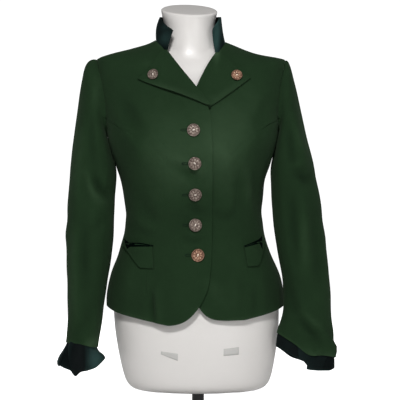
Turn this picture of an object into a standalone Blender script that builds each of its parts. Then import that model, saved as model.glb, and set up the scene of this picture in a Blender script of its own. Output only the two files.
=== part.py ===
"""A fitted wool jacket with a velvet stand collar and velvet cuffs, worn on a limbless dress form.

The jacket is cut as it would be sewn: two fronts, two side bodies, two backs, two-piece sleeves, turned-back
lapels, a stand collar, cuffs, pocket welts and buttons. All its body panels lie on one surface, the figure, which
is a stack of rings worked out from a table of sizes. Metres, +Z up, the jacket faces -Y and the origin is on the
floor, under the middle of the stand.
"""

import math

import bmesh
import bpy
import numpy as np
from mathutils import Vector
from mathutils.bvhtree import BVHTree

# Cloth and seams
SEAM_GAP = 0.0006
WOOL = 0.0025
VELVET = 0.0030
LAPEL = 0.0030
LIE_GAP = 0.0020
OVERLAP_GAP = 0.0031
SHOULDER_EASE = 0.0028

# Stand
BASE_RADIUS = 0.140
BASE_THICK = 0.012
POST_RADIUS = 0.012
FORM_FOOT = 0.119
TOUCH_GAP = 0.0003
LEAN = 0.021

# Panel grids, in steps
SEAM_STEPS = 13
ARMHOLE_STEPS = 9
SIDE_STEPS = 6
PANEL_STEPS = 8
SLEEVE_STEPS = 17
NECK_STEPS = 5
FORM_STEPS = 36

# The figure under the cloth's outer face, one ring a row. A ring passes the side at side_z and may dip or rise to
# the front and the back. Fullness is added over the two front seams.
# Columns: side_z, half width, front_z, front depth, back_z, back depth, fullness, squareness
FIGURE = (
    (0.240, 0.1800, 0.240, 0.1280, 0.240, 0.1500, 0.000, 2.20),
    (0.300, 0.1780, 0.300, 0.1250, 0.300, 0.1500, 0.000, 2.20),
    (0.345, 0.1730, 0.345, 0.1200, 0.345, 0.1420, 0.000, 2.20),
    (0.371, 0.1610, 0.371, 0.1130, 0.371, 0.1300, 0.000, 2.20),
    (0.395, 0.1510, 0.395, 0.1080, 0.395, 0.1200, 0.000, 2.20),
    (0.415, 0.1445, 0.415, 0.1060, 0.415, 0.1120, 0.000, 2.20),
    (0.440, 0.1380, 0.440, 0.1050, 0.440, 0.1060, 0.000, 2.20),
    (0.460, 0.1350, 0.460, 0.1060, 0.460, 0.1030, 0.001, 2.20),
    (0.496, 0.1390, 0.496, 0.1110, 0.496, 0.1030, 0.002, 2.25),
    (0.530, 0.1420, 0.530, 0.1200, 0.530, 0.1080, 0.004, 2.30),
    (0.560, 0.1520, 0.560, 0.1300, 0.560, 0.1150, 0.005, 2.35),
    (0.590, 0.1600, 0.590, 0.1350, 0.590, 0.1200, 0.006, 2.40),
    (0.620, 0.1680, 0.618, 0.1320, 0.620, 0.1240, 0.005, 2.45),
    (0.660, 0.1750, 0.655, 0.1190, 0.660, 0.1250, 0.003, 2.50),
    (0.700, 0.1810, 0.688, 0.1020, 0.697, 0.1210, 0.001, 2.55),
    (0.740, 0.1860, 0.718, 0.0870, 0.735, 0.1080, 0.000, 2.60),
    (0.766, 0.1885, 0.737, 0.0780, 0.765, 0.0950, 0.000, 2.60),
    (0.778, 0.1880, 0.748, 0.0735, 0.782, 0.0860, 0.000, 2.60),
    (0.787, 0.1650, 0.754, 0.0710, 0.792, 0.0810, 0.000, 2.50),
    (0.796, 0.1340, 0.760, 0.0685, 0.802, 0.0750, 0.000, 2.35),
    (0.805, 0.1020, 0.766, 0.0660, 0.812, 0.0690, 0.000, 2.20),
    (0.814, 0.0700, 0.772, 0.0635, 0.823, 0.0630, 0.000, 2.10),
)
FULL_ANGLE = 34.0
FULL_SPREAD = 17.0
NECKLINE = 0.814

# How far the dress form lies inside the cloth's inner face: level, ease
EASE = ((0.240, 0.0120), (0.300, 0.0095), (0.345, 0.0075), (0.395, 0.0050), (0.460, 0.0040), (0.590, 0.0036),
        (0.640, 0.0050), (0.700, 0.0036), (0.740, 0.0034), (0.768, 0.0044), (0.777, 0.0045), (0.786, SHOULDER_EASE),
        (0.814, SHOULDER_EASE))

# The form's foot: height, half width, front, back
FORM_FOOT_ROWS = (
    (0.1190, 0.118, 0.086, 0.096),
    (0.1220, 0.131, 0.099, 0.110),
    (0.1310, 0.142, 0.108, 0.120),
    (0.1490, 0.149, 0.112, 0.126),
    (0.1840, 0.1565, 0.115, 0.133),
    (0.2200, 0.1625, 0.117, 0.137),
)
FORM_LEVELS = (0.252, 0.285, 0.315, 0.345, 0.371, 0.395, 0.418, 0.440, 0.460, 0.482, 0.506, 0.530, 0.552, 0.574,
               0.596, 0.620, 0.645, 0.672, 0.698, 0.722, 0.744, 0.760, 0.771, 0.778, 0.7825, 0.787, 0.7915, 0.796,
               0.8005, 0.805, 0.8095, 0.814)
# The neck and its cap: height, half width, front, back, rise for each metre towards the back
FORM_NECK_ROWS = (
    (0.8270, 0.0500, 0.0490, 0.0500, 0.300),
    (0.8400, 0.0480, 0.0485, 0.0495, 0.310),
    (0.8560, 0.0490, 0.0490, 0.0500, 0.320),
    (0.8700, 0.0530, 0.0510, 0.0520, 0.325),
    (0.8740, 0.0545, 0.0520, 0.0530, 0.325),
    (0.8770, 0.0535, 0.0510, 0.0520, 0.325),
)
CAP_ROLL = 0.045
# The neck's root inside the neckline: share of its ring, rise
NECK_ROOT = ((0.93, -0.0002), (0.84, 0.0025), (0.765, 0.0085))

# Hem: angle round from the centre front, level
HEM = ((36.0, 0.2665), (60.0, 0.2755), (90.0, 0.2895), (127.0, 0.2840), (155.0, 0.2770), (180.0, 0.2750))
# Front seam, from hem to armhole: x, height
FRONT_SEAM = ((0.0945, 0.2665), (0.0950, 0.303), (0.0948, 0.340), (0.0930, 0.371), (0.0895, 0.400), (0.0855, 0.430),
              (0.0825, 0.462), (0.0830, 0.497), (0.0865, 0.533), (0.0930, 0.567), (0.1040, 0.597), (0.1210, 0.622),
              (0.1430, 0.642))
# Side back seam, from hem to armhole: angle, level
BACK_SEAM = ((127.0, 0.2840), (129.0, 0.400), (130.0, 0.460), (128.0, 0.540), (122.0, 0.610))

# Front edges: panel row, x, height. The edge runs up from the hem's rounded corner, past the break point at
# row BREAK_ROW, along the roll line to the collar's end at row COLLAR_ROW.
BREAK_ROW = 14
COLLAR_ROW = 19
EDGE_RIGHT = ((0, -0.0500, 0.2568), (1, -0.0280, 0.2600), (2, -0.0100, 0.2725), (3, 0.0040, 0.2890),
              (4, 0.0150, 0.3060), (5, 0.0235, 0.3260), (6, 0.0285, 0.352), (7, 0.0313, 0.385), (8, 0.0332, 0.422),
              (9, 0.0348, 0.462), (10, 0.0359, 0.506), (11, 0.0367, 0.550), (12, 0.0374, 0.593), (13, 0.0375, 0.637),
              (14, 0.0335, 0.6720), (15, 0.0190, 0.6930), (16, 0.0030, 0.7145), (17, -0.0165, 0.7405),
              (18, -0.0340, 0.7635), (19, -0.0508, 0.7861))
EDGE_LEFT = ((0, 0.0550, 0.2660), (1, 0.0350, 0.2670), (2, 0.0190, 0.2740), (3, 0.0070, 0.2890),
             (4, -0.0035, 0.3070), (5, -0.0120, 0.3270), (6, -0.0200, 0.352), (7, -0.0255, 0.385), (8, -0.0290, 0.422),
             (9, -0.0303, 0.462), (10, -0.0305, 0.506), (11, -0.0305, 0.550), (12, -0.0300, 0.593),
             (13, -0.0240, 0.637), (14, -0.0120, 0.6660), (15, -0.0005, 0.6880), (16, 0.0100, 0.7100),
             (17, 0.0211, 0.7330), (18, 0.0350, 0.7600), (19, 0.0525, 0.7861))
# The right front lies over the left one from here to its edge
OVERLAP_X = -0.056
OVERLAP_RAMP = 0.030
# and is lifted again where it crosses the end of the left lapel: x, height, reach in full, reach in all
CROSSING = (0.008, 0.690, 0.036, 0.066)
CROSSING_LIFT = LAPEL + LIE_GAP

# Lapels, as x, height: lower edge from the break to the tip, outer edge from the tip to the collar
LAPEL_RIGHT_LOWER = ((0.0293, 0.6715), (0.0218, 0.6755), (-0.0415, 0.7035), (-0.1030, 0.7310))
LAPEL_RIGHT_OUTER = ((-0.1030, 0.7310), (-0.0781, 0.7560), (-0.0610, 0.7840))
LAPEL_LEFT_LOWER = ((-0.0080, 0.6580), (0.0332, 0.6735), (0.0746, 0.7020), (0.1150, 0.7340))
LAPEL_LEFT_OUTER = ((0.1150, 0.7340), (0.0870, 0.7560), (0.0635, 0.7845))
LAPEL_STEPS = 7
LAPEL_SPRING = 0.0020
COLLAR_CLEAR = 0.0035

# Armhole: an egg round the side, wider low down
ARMHOLE_MID = 0.699
ARMHOLE_HALF = 0.079
ARMHOLE_FRONT = 15.0
ARMHOLE_BACK = 17.0
ARMHOLE_EGG = 0.25
NOTCH = 124.0

# Sleeves, one ring a row: the ring's inner and outer side as x and height, its middle's y, half depth, squareness
SLEEVE_RIGHT = (
    (0.1680, 0.6200, 0.1890, 0.7780, 0.004, 0.0510, 2.1),
    (0.1697, 0.6208, 0.2000, 0.7795, 0.004, 0.0530, 2.1),
    (0.1702, 0.6180, 0.2130, 0.7700, 0.003, 0.0560, 2.1),
    (0.1675, 0.6110, 0.2225, 0.7350, 0.002, 0.0585, 2.1),
    (0.1635, 0.5990, 0.2300, 0.6830, 0.001, 0.0600, 2.1),
    (0.1583, 0.5800, 0.2378, 0.6260, -0.002, 0.0600, 2.1),
    (0.1520, 0.5540, 0.2455, 0.5700, -0.006, 0.0590, 2.1),
    (0.1560, 0.5150, 0.2500, 0.5200, -0.012, 0.0560, 2.1),
    (0.1595, 0.4650, 0.2525, 0.4650, -0.020, 0.0530, 2.1),
    (0.1600, 0.4150, 0.2550, 0.4120, -0.028, 0.0505, 2.1),
    (0.1695, 0.3500, 0.2540, 0.3500, -0.037, 0.0500, 2.1),
    (0.1805, 0.2900, 0.2548, 0.2900, -0.043, 0.0510, 2.1),
    (0.1865, 0.2480, 0.2552, 0.2480, -0.046, 0.0525, 2.1),
    (0.1950, 0.2060, 0.2558, 0.2150, -0.048, 0.0540, 2.1),
)
SLEEVE_LEFT = (
    (0.1680, 0.6200, 0.1890, 0.7780, 0.004, 0.0510, 2.1),
    (0.1697, 0.6208, 0.1945, 0.7780, 0.004, 0.0530, 2.1),
    (0.1702, 0.6180, 0.2010, 0.7620, 0.003, 0.0560, 2.1),
    (0.1675, 0.6110, 0.2080, 0.7200, 0.002, 0.0585, 2.1),
    (0.1635, 0.5990, 0.2175, 0.6700, 0.001, 0.0600, 2.1),
    (0.1583, 0.5800, 0.2285, 0.6220, -0.002, 0.0600, 2.1),
    (0.1520, 0.5540, 0.2400, 0.5680, -0.007, 0.0590, 2.1),
    (0.1535, 0.5150, 0.2480, 0.5180, -0.014, 0.0560, 2.1),
    (0.1565, 0.4650, 0.2550, 0.4650, -0.024, 0.0520, 2.1),
    (0.1630, 0.4150, 0.2600, 0.4120, -0.034, 0.0490, 2.1),
    (0.1745, 0.3400, 0.2655, 0.3450, -0.047, 0.0450, 2.1),
    (0.1745, 0.2900, 0.2680, 0.2900, -0.056, 0.0400, 2.1),
    (0.1640, 0.2580, 0.2670, 0.2450, -0.060, 0.0350, 2.1),
    (0.1590, 0.2320, 0.2670, 0.1880, -0.062, 0.0320, 2.1),
)
CAP_FADE_ROWS = 5.0

# Cuffs: tucked this far into the sleeve, then one row at each angle round from the outer side over the front:
# angle, how far the edge stands out, how long the cuff shows
CUFF_TUCK = 0.010
CUFF_CLEAR = 0.0009
CUFF_STEPS = 4
CUFF_RIGHT = ((0.0, 0.020, 0.040), (50.0, 0.015, 0.045), (95.0, 0.010, 0.044), (140.0, 0.012, 0.035),
              (180.0, 0.018, 0.021), (225.0, 0.010, 0.030), (270.0, 0.006, 0.040), (315.0, 0.014, 0.040))
CUFF_LEFT = ((0.0, 0.009, 0.017), (35.0, 0.008, 0.030), (65.0, 0.005, 0.037), (90.0, 0.004, 0.030),
             (110.0, 0.003, 0.020), (140.0, 0.003, 0.022), (180.0, 0.003, 0.024), (225.0, 0.004, 0.030),
             (270.0, 0.005, 0.032), (315.0, 0.008, 0.024))
VENT_RIGHT = 40.0
VENT_LEFT = 75.0
VENT_LAP = 9.0

# Collar, from each front end to the centre back: angle at the neckline, then its top edge as x, y, height
COLLAR_TOP = ((90.0, 0.0600, -0.010, 0.8610), (120.0, 0.0545, 0.034, 0.8650), (150.0, 0.0330, 0.058, 0.8670),
              (180.0, 0.0000, 0.067, 0.8680))
COLLAR_FRONT_RIGHT = ((0.0351, -0.0640, 0.8240), (0.0500, -0.0480, 0.8430))
COLLAR_FRONT_LEFT = ((0.0435, -0.0640, 0.8265), (0.0520, -0.0470, 0.8460))
COLLAR_STEPS = 4
# How far the collar's middle bows in between its two edges, on the wearer's right and left
COLLAR_BOW_RIGHT = -0.0040
COLLAR_BOW_LEFT = 0.0025

# Pocket welts as x, height: inner top, inner foot, outer foot, outer middle, outer top, and the top edge's middle
POCKET_RIGHT = ((-0.0807, 0.4061), (-0.0794, 0.3630), (-0.1057, 0.3645), (-0.1190, 0.3845), (-0.1390, 0.4090),
                (-0.1080, 0.4090))
POCKET_LEFT = ((0.0953, 0.4050), (0.1000, 0.3670), (0.1213, 0.3680), (0.1290, 0.3880), (0.1350, 0.4160),
               (0.1130, 0.4110))
POCKET_MOUTH = 0.0040
# How far each welt's foot lies off the figure
POCKET_LIE_RIGHT = 0.0014
POCKET_LIE_LEFT = 0.0008

# Buttons: x, height
FRONT_BUTTONS = ((0.0025, 0.6276), (0.0033, 0.5668), (0.0029, 0.5081), (0.0018, 0.4478), (0.0058, 0.3879))
LAPEL_BUTTON_RIGHT = (-0.0735, 0.7370)
LAPEL_BUTTON_LEFT = (0.0880, 0.7365)
FRONT_BUTTON_RADIUS = 0.0125
LAPEL_BUTTON_RADIUS = 0.0107
# Half section of a button of radius 1, from the shank's foot up: radius share, height in metres
BUTTON_PROFILE = ((0.0, 0.0), (0.22, 0.0), (0.24, 0.0012), (0.90, 0.0015), (1.0, 0.0024), (0.98, 0.0034),
                  (0.86, 0.0040), (0.74, 0.0034), (0.0, 0.0040))
BUTTON_SIDES = 16


def smooth_table(places, values):
    """A function through the rows of a table, smooth and without overshoot."""
    places, values = np.asarray(places, float), np.asarray(values, float)
    if values.ndim == 1:
        values = values[:, None]
    steps = np.diff(places)
    slopes = np.diff(values, axis=0) / steps[:, None]
    product = slopes[:-1] * slopes[1:]
    total = slopes[:-1] + slopes[1:]
    total[product <= 0] = 1.0
    tangents = np.vstack((slopes[:1], np.where(product > 0, 2 * product / total, 0.0), slopes[-1:]))

    def at(place):
        place = np.clip(np.asarray(place, float), places[0], places[-1])
        i = np.clip(np.searchsorted(places, place, side="right") - 1, 0, len(steps) - 1)
        h = steps[i][..., None]
        t = (place - places[i])[..., None] / h
        rise = t * t * (3 - 2 * t)
        return (values[i] * (1 - rise) + values[i + 1] * rise
                + h * tangents[i] * t * (1 - t) ** 2 - h * tangents[i + 1] * t * t * (1 - t))

    return at


FIGURE_AT = smooth_table([row[0] for row in FIGURE], [row[1:] for row in FIGURE])
EASE_AT = smooth_table([row[0] for row in EASE], [row[1] for row in EASE])


def ring_point(angle, half, front, back, square):
    """A rounded ring's x and y at an angle from the front, by its half width and its two depths."""
    turn = np.radians(angle)
    depth = np.where(np.cos(turn) > 0, front, back)
    radius = ((np.abs(np.sin(turn)) / half) ** square + (np.abs(np.cos(turn)) / depth) ** square) ** (-1 / square)
    return radius, np.sin(turn), np.cos(turn)


def figure(angle, level):
    """The figure's point at an angle round from the centre front and a level, the height at its side."""
    half, front_z, front, back_z, back, full, square = np.moveaxis(FIGURE_AT(level), -1, 0)
    radius, across, ahead = ring_point(angle, half, front, back, square)
    radius = radius + full * np.exp(-(((np.abs(angle) - FULL_ANGLE) / FULL_SPREAD) ** 2))
    end_z = np.where(ahead > 0, front_z, back_z)
    height = level + (end_z - level) * ahead ** 2
    return np.stack((radius * across, -radius * ahead, height), axis=-1)


def figure_normal(angle, level):
    """The figure's outward normal."""
    turn, rise = 0.05, 1e-4
    low = np.clip(level - rise, FIGURE[0][0], FIGURE[-1][0])
    high = np.clip(level + rise, FIGURE[0][0], FIGURE[-1][0])
    around = figure(angle + turn, level) - figure(angle - turn, level)
    up = figure(angle, high) - figure(angle, low)
    normal = np.cross(around, up)
    return normal / np.linalg.norm(normal, axis=-1, keepdims=True)


def place(x, z):
    """The angle and level at which the figure's front has this x and height."""
    x, z = np.asarray(x, float), np.asarray(z, float)
    half = FIGURE_AT(z)[..., 0]
    angle, level = np.degrees(np.arcsin(np.clip(x / half, -0.97, 0.97))), z.copy()
    for _ in range(60):
        here, beside = figure(angle, level), figure(angle + 0.1, level)
        slope = np.maximum((beside[..., 0] - here[..., 0]) / 0.1, 2e-4)
        angle = angle + np.clip((x - here[..., 0]) / slope, -8, 8) * 0.8
        level = np.clip(level + (z - here[..., 2]) * 0.8, FIGURE[0][0], FIGURE[-1][0])
    return np.stack((angle, level), axis=-1)


def patch(bottom, top, left, right):
    """A grid of rows and columns between four edges, given as points from left to right and from bottom to top."""
    bottom, top, left, right = (np.asarray(edge, float) for edge in (bottom, top, left, right))
    i = np.linspace(0, 1, len(bottom))[None, :, None]
    j = np.linspace(0, 1, len(left))[:, None, None]
    ruled = (1 - j) * bottom[None] + j * top[None] + (1 - i) * left[:, None] + i * right[:, None]
    corners = (1 - j) * ((1 - i) * bottom[0] + i * bottom[-1]) + j * ((1 - i) * top[0] + i * top[-1])
    return ruled - corners


def spread(points, steps):
    """Evenly spaced points along a smooth line through the given ones."""
    points = np.asarray(points, float)
    along = np.concatenate(([0.0], np.cumsum(np.linalg.norm(np.diff(points, axis=0), axis=1))))
    return smooth_table(along, points)(np.linspace(0, along[-1], steps + 1))


def draw_in(outer, inner, sides, distance=SEAM_GAP / 2):
    """Moves the named edges of a wall's two grids in, square to the seam."""
    lines = {"left": (slice(None), 0), "right": (slice(None), -1), "bottom": 0, "top": -1}
    beside = {"left": (slice(None), 1), "right": (slice(None), -2), "bottom": 1, "top": -2}
    for side in sides:
        step = outer[beside[side]] - outer[lines[side]]
        along = np.gradient(outer[lines[side]], axis=0)
        step -= along * np.sum(step * along, axis=-1, keepdims=True) / np.sum(along * along, axis=-1, keepdims=True)
        step *= distance / np.linalg.norm(step, axis=-1, keepdims=True)
        outer[lines[side]] += step
        inner[lines[side]] += step


def leaned(points):
    """The figure leans a little sideways on its post."""
    points = np.array(points, float)
    points[..., 0] -= LEAN * (points[..., 2] - FORM_FOOT)
    return points


def mirrored(points, side):
    points = np.array(points, float)
    points[..., 0] *= side
    return points


def material(name, colour, roughness, metallic=0.0):
    made = bpy.data.materials.new(name)
    made.use_nodes = True
    shader = made.node_tree.nodes["Principled BSDF"]
    shader.inputs["Base Color"].default_value = (*colour, 1.0)
    shader.inputs["Roughness"].default_value = roughness
    shader.inputs["Metallic"].default_value = metallic
    made.diffuse_color = (*colour, 1.0)
    return made


def object_from(bm, name, stuff):
    """Closes a bmesh into a named object with its faces pointing out."""
    bmesh.ops.recalc_face_normals(bm, faces=bm.faces[:])
    mesh = bpy.data.meshes.new(name)
    bm.to_mesh(mesh)
    bm.free()
    mesh.materials.append(stuff)
    mesh.shade_smooth()
    mesh.set_sharp_from_angle(angle=math.radians(50))
    made = bpy.data.objects.new(name, mesh)
    bpy.context.collection.objects.link(made)
    return made


def wall(name, outer, inner, stuff, ring=False):
    """A closed wall: a sheet over the outer grid, extruded to the inner one."""
    bm = bmesh.new()
    number = bm.verts.layers.int.new("number")
    rows, columns = outer.shape[:2]
    verts = [bm.verts.new(point) for point in leaned(outer).reshape(-1, 3)]
    for count, vert in enumerate(verts):
        vert[number] = count
    for j in range(rows - 1):
        for i in range(columns if ring else columns - 1):
            a, b = j * columns + i, j * columns + (i + 1) % columns
            bm.faces.new((verts[a], verts[b], verts[b + columns], verts[a + columns]))
    extruded = bmesh.ops.extrude_face_region(bm, geom=bm.faces[:])["geom"]
    inside = leaned(inner).reshape(-1, 3)
    for vert in (item for item in extruded if isinstance(item, bmesh.types.BMVert)):
        vert.co = inside[vert[number]]
    return object_from(bm, name, stuff)


def armhole(turn):
    """The armhole's angle and level, by the turn from the shoulder tip over the front."""
    round_turn = np.radians(turn)
    width = np.where(np.sin(round_turn) > 0, ARMHOLE_FRONT, ARMHOLE_BACK)
    angle = 90 - width * np.sin(round_turn) * (1 - ARMHOLE_EGG * np.cos(round_turn))
    return np.stack((angle, ARMHOLE_MID + ARMHOLE_HALF * np.cos(round_turn)), axis=-1)


ARM_FRONT = np.linspace(0, NOTCH, ARMHOLE_STEPS + 1)
ARM_UNDER = np.linspace(NOTCH, 360 - NOTCH, SIDE_STEPS + 1)
ARM_BACK = np.linspace(360 - NOTCH, 360, ARMHOLE_STEPS + 1)


def front_seam():
    """The seam between a front and its side body, from the hem to the armhole."""
    seam = np.asarray(FRONT_SEAM)
    return np.vstack((place(seam[:, 0], seam[:, 1]), armhole(NOTCH)))


def back_seam():
    """The seam between a side body and its back, at the same heights as the front seam."""
    notch = armhole(360 - NOTCH)
    rows = np.vstack((BACK_SEAM, notch))
    levels = np.linspace(BACK_SEAM[0][1], notch[1], SEAM_STEPS + 1)
    return np.column_stack((smooth_table(rows[:, 1], rows[:, 0])(levels)[:, 0], levels))


def lift_of_right_front(spots, side):
    """How far the right front's outer face lies outside the figure: it laps over the left front."""
    point = figure(spots[..., 0], spots[..., 1])
    x, z = point[..., 0] * side, point[..., 2]
    share = np.clip((x - OVERLAP_X + OVERLAP_RAMP) / OVERLAP_RAMP, 0, 1)
    over = share * share * (3 - 2 * share)
    centre_x, centre_z, near, far = CROSSING
    reach = np.clip((far - np.hypot(x - centre_x, z - centre_z)) / (far - near), 0, 1)
    return (WOOL + OVERLAP_GAP) * over + CROSSING_LIFT * reach * reach * (3 - 2 * reach)


def panel(name, side, spots, lift, seams, stuff):
    """A body panel on the figure."""
    base, normal = figure(spots[..., 0], spots[..., 1]), figure_normal(spots[..., 0], spots[..., 1])
    outer = base + normal * lift[..., None]
    inner = base + normal * (lift[..., None] - WOOL)
    draw_in(outer, inner, seams)
    return wall(name, mirrored(outer, side), mirrored(inner, side), stuff)


def front_edge(table, side):
    """A front's edge, roll line and neckline, as angle and level for each row of the panel."""
    table = np.asarray(table, float)
    edge = place(table[:, 1] * side, table[:, 2])
    last = SEAM_STEPS + ARMHOLE_STEPS
    end = edge[COLLAR_ROW]
    share = np.linspace(0, 1, last - COLLAR_ROW + 1)[1:, None]
    neckline = end + (np.array((90.0, NECKLINE)) - end) * np.hstack((share, share ** 0.35))
    return np.vstack((edge, neckline))


def front(name, side, table, lift, stuff):
    left = front_edge(table, side)
    right = np.vstack((front_seam(), armhole(ARM_FRONT[::-1])[1:]))
    steps = np.linspace(0, 1, PANEL_STEPS + 1)[:, None]
    bottom = left[0] + (right[0] - left[0]) * steps
    top = left[-1] + (right[-1] - left[-1]) * steps
    spots = patch(bottom, top, left, right)
    heights = lift(spots, side) if lift else np.zeros(spots.shape[:2])
    return panel(name, side, spots, heights, ("right", "top", "left"), stuff)


def side_body(name, side, stuff):
    left, right = front_seam(), back_seam()
    angles = np.linspace(left[0, 0], right[0, 0], SIDE_STEPS + 1)
    hem = np.column_stack((angles, smooth_table(*np.transpose(HEM))(angles)[:, 0]))
    hem[0], hem[-1] = left[0], right[0]
    spots = patch(hem, armhole(ARM_UNDER), left, right)
    return panel(name, side, spots, np.zeros(spots.shape[:2]), ("left", "right", "top"), stuff)


def back(name, side, stuff):
    left = np.vstack((back_seam(), armhole(ARM_BACK)[1:]))
    rows = len(left)
    centre = np.column_stack((np.full(rows - NECK_STEPS, 180.0),
                              np.linspace(HEM[-1][1], NECKLINE, rows - NECK_STEPS)))
    neckline = np.column_stack((np.linspace(180, 90, NECK_STEPS + 1)[1:], np.full(NECK_STEPS, NECKLINE)))
    right = np.vstack((centre, neckline))
    angles = np.linspace(left[0, 0], 180, PANEL_STEPS + 1)
    hem = np.column_stack((angles, smooth_table(*np.transpose(HEM))(angles)[:, 0]))
    hem[0], hem[-1] = left[0], right[0]
    steps = np.linspace(0, 1, PANEL_STEPS + 1)[:, None]
    top = left[-1] + (right[-1] - left[-1]) * steps
    spots = patch(hem, top, left, right)
    return panel(name, side, spots, np.zeros(spots.shape[:2]), ("left", "right", "top"), stuff)


def lapel(name, side, table, lower, outer_edge, lift, stuff):
    """A lapel: rounded over the front's edge at the roll line, then lying on the front."""
    rows = slice(BREAK_ROW, COLLAR_ROW + 1)
    roll = np.asarray(table)[rows, 1:] * (side, 1)
    lower = spread(np.asarray(lower) * (side, 1), LAPEL_STEPS)
    lower[0] = roll[0]
    far = spread(np.asarray(outer_edge) * (side, 1), len(roll) - 1)
    top = roll[-1] + (far[-1] - roll[-1]) * np.linspace(0, 1, LAPEL_STEPS + 1)[:, None]
    flat = patch(lower, top, roll, far)
    spots = place(flat[..., 0], flat[..., 1])
    base, normal = figure(spots[..., 0], spots[..., 1]), figure_normal(spots[..., 0], spots[..., 1])
    under = lift(spots, side) if lift else np.zeros(spots.shape[:2])
    share = np.linspace(0, 1, LAPEL_STEPS + 1)
    rise = np.clip(np.linspace(0, 1.6, len(roll)), 0, 1)[:, None]
    spring = LAPEL_SPRING * rise * np.sin(np.pi * np.clip(share * 1.2, 0, 1)) ** 2
    inner = base + normal * (under + LIE_GAP + spring)[..., None]
    outer = inner + normal * LAPEL
    along = np.gradient(base[:, 0], axis=0)
    out = np.cross(along, normal[:, 0])
    out /= np.linalg.norm(out, axis=-1, keepdims=True)
    out *= np.sign(np.sum(out * (base[:, 0] - base[:, 1]), axis=-1, keepdims=True))
    edge, up, front_face = base[:, 0], normal[:, 0], under[:, :1]
    turned_back = -np.minimum(0.8 * LAPEL, 0.45 * np.linalg.norm(base[:, 1] - edge, axis=-1, keepdims=True))
    # The rounded edge in section, from the front's inner face out and over: away from the front, above its face
    section = ((SEAM_GAP, -WOOL, LAPEL, 0.0), (SEAM_GAP, -0.2 * WOOL, LAPEL, 0.2 * LAPEL),
               (SEAM_GAP, LIE_GAP, 0.55 * LAPEL, 0.85 * LAPEL), (turned_back, LIE_GAP, 0.0, LAPEL))
    wrap = [(edge + out * away + up * (front_face + above),
             edge + out * (away + thick_out) + up * (front_face + above + thick_up))
            for away, above, thick_out, thick_up in section]
    inner = np.concatenate([np.stack([near for near, _ in wrap], axis=1), inner[:, 1:]], axis=1)
    outer = np.concatenate([np.stack([over for _, over in wrap], axis=1), outer[:, 1:]], axis=1)
    draw_in(outer, inner, ("top",), COLLAR_CLEAR)
    return wall(name, mirrored(outer, side), mirrored(inner, side), stuff)


def grid_normals(grid, ring):
    """Normals of a grid of rows down and columns round."""
    if ring:
        around = np.roll(grid, -1, axis=1) - np.roll(grid, 1, axis=1)
    else:
        around = np.gradient(grid, axis=1)
    down = np.gradient(grid, axis=0)
    normal = np.cross(down, around)
    return normal / np.linalg.norm(normal, axis=-1, keepdims=True)


def sleeve_rings(table):
    """A sleeve's outer and inner face, rows from the armhole down, columns from the top over the front."""
    turns = np.concatenate((ARM_FRONT[:-1], ARM_UNDER[:-1], ARM_BACK[:-1]))
    rows_at = smooth_table(range(len(table)), table)
    places = np.linspace(0, len(table) - 1, SLEEVE_STEPS + 1)

    def ring(row):
        in_x, in_z, out_x, out_z, middle_y, depth, square = row
        across = np.array((out_x - in_x, 0, out_z - in_z)) / 2
        centre = np.array(((in_x + out_x) / 2, middle_y, (in_z + out_z) / 2))
        half = np.linalg.norm(across)
        radius, front_share, top_share = ring_point(turns, depth, half, half, square)
        return (centre + across / half * (radius * top_share)[:, None]
                - np.array((0, 1, 0)) * (radius * front_share)[:, None])

    spots = armhole(turns)
    hole, normal = figure(spots[:, 0], spots[:, 1]), figure_normal(spots[:, 0], spots[:, 1])
    into = hole.mean(axis=0) - hole
    into -= normal * np.sum(into * normal, axis=-1, keepdims=True)
    into /= np.linalg.norm(into, axis=-1, keepdims=True)
    start = hole + into * SEAM_GAP
    misfit = start - ring(table[0])
    rings = []
    for spot in places:
        fade = np.clip(1 - spot / CAP_FADE_ROWS, 0, 1)
        rings.append(ring(rows_at(spot)) + misfit * fade * fade)
    outer = np.stack(rings)
    normals = grid_normals(outer, ring=True)
    centres = outer.mean(axis=1, keepdims=True)
    facing = np.sign(np.sum(normals[2:] * (outer - centres)[2:]))
    normals *= facing
    normals[0] += 2 * normal
    normals[0] /= np.linalg.norm(normals[0], axis=-1, keepdims=True)
    return outer, outer - normals * WOOL, normals


def sleeve(name_end, side, table, stuff):
    """A top sleeve and an under sleeve, and the inner face and normals that the cuff follows."""
    outer, inner, normals = sleeve_rings(table)
    first, last = ARMHOLE_STEPS, ARMHOLE_STEPS + SIDE_STEPS
    along = np.gradient(outer, axis=0)
    off_seam = np.roll(outer, -1, axis=1) - np.roll(outer, 1, axis=1)
    off_seam -= along * (np.sum(off_seam * along, axis=-1, keepdims=True) / np.sum(along ** 2, axis=-1, keepdims=True))
    off_seam *= SEAM_GAP / 2 / np.linalg.norm(off_seam, axis=-1, keepdims=True)
    off_seam[:2] *= 2.8
    under = np.arange(first, last + 1)
    upper = np.arange(last, last + 2 * ARMHOLE_STEPS + 1) % outer.shape[1]
    for name, columns in (("top_sleeve_" + name_end, upper), ("under_sleeve_" + name_end, under)):
        outer_part, inner_part = outer[:, columns].copy(), inner[:, columns].copy()
        for part_end, seam, way in ((0, columns[0], 1), (-1, columns[-1], -1)):
            outer_part[:, part_end] += off_seam[:, seam] * way
            inner_part[:, part_end] += off_seam[:, seam] * way
        wall(name, mirrored(outer_part, side), mirrored(inner_part, side), stuff)
    return inner, normals


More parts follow.
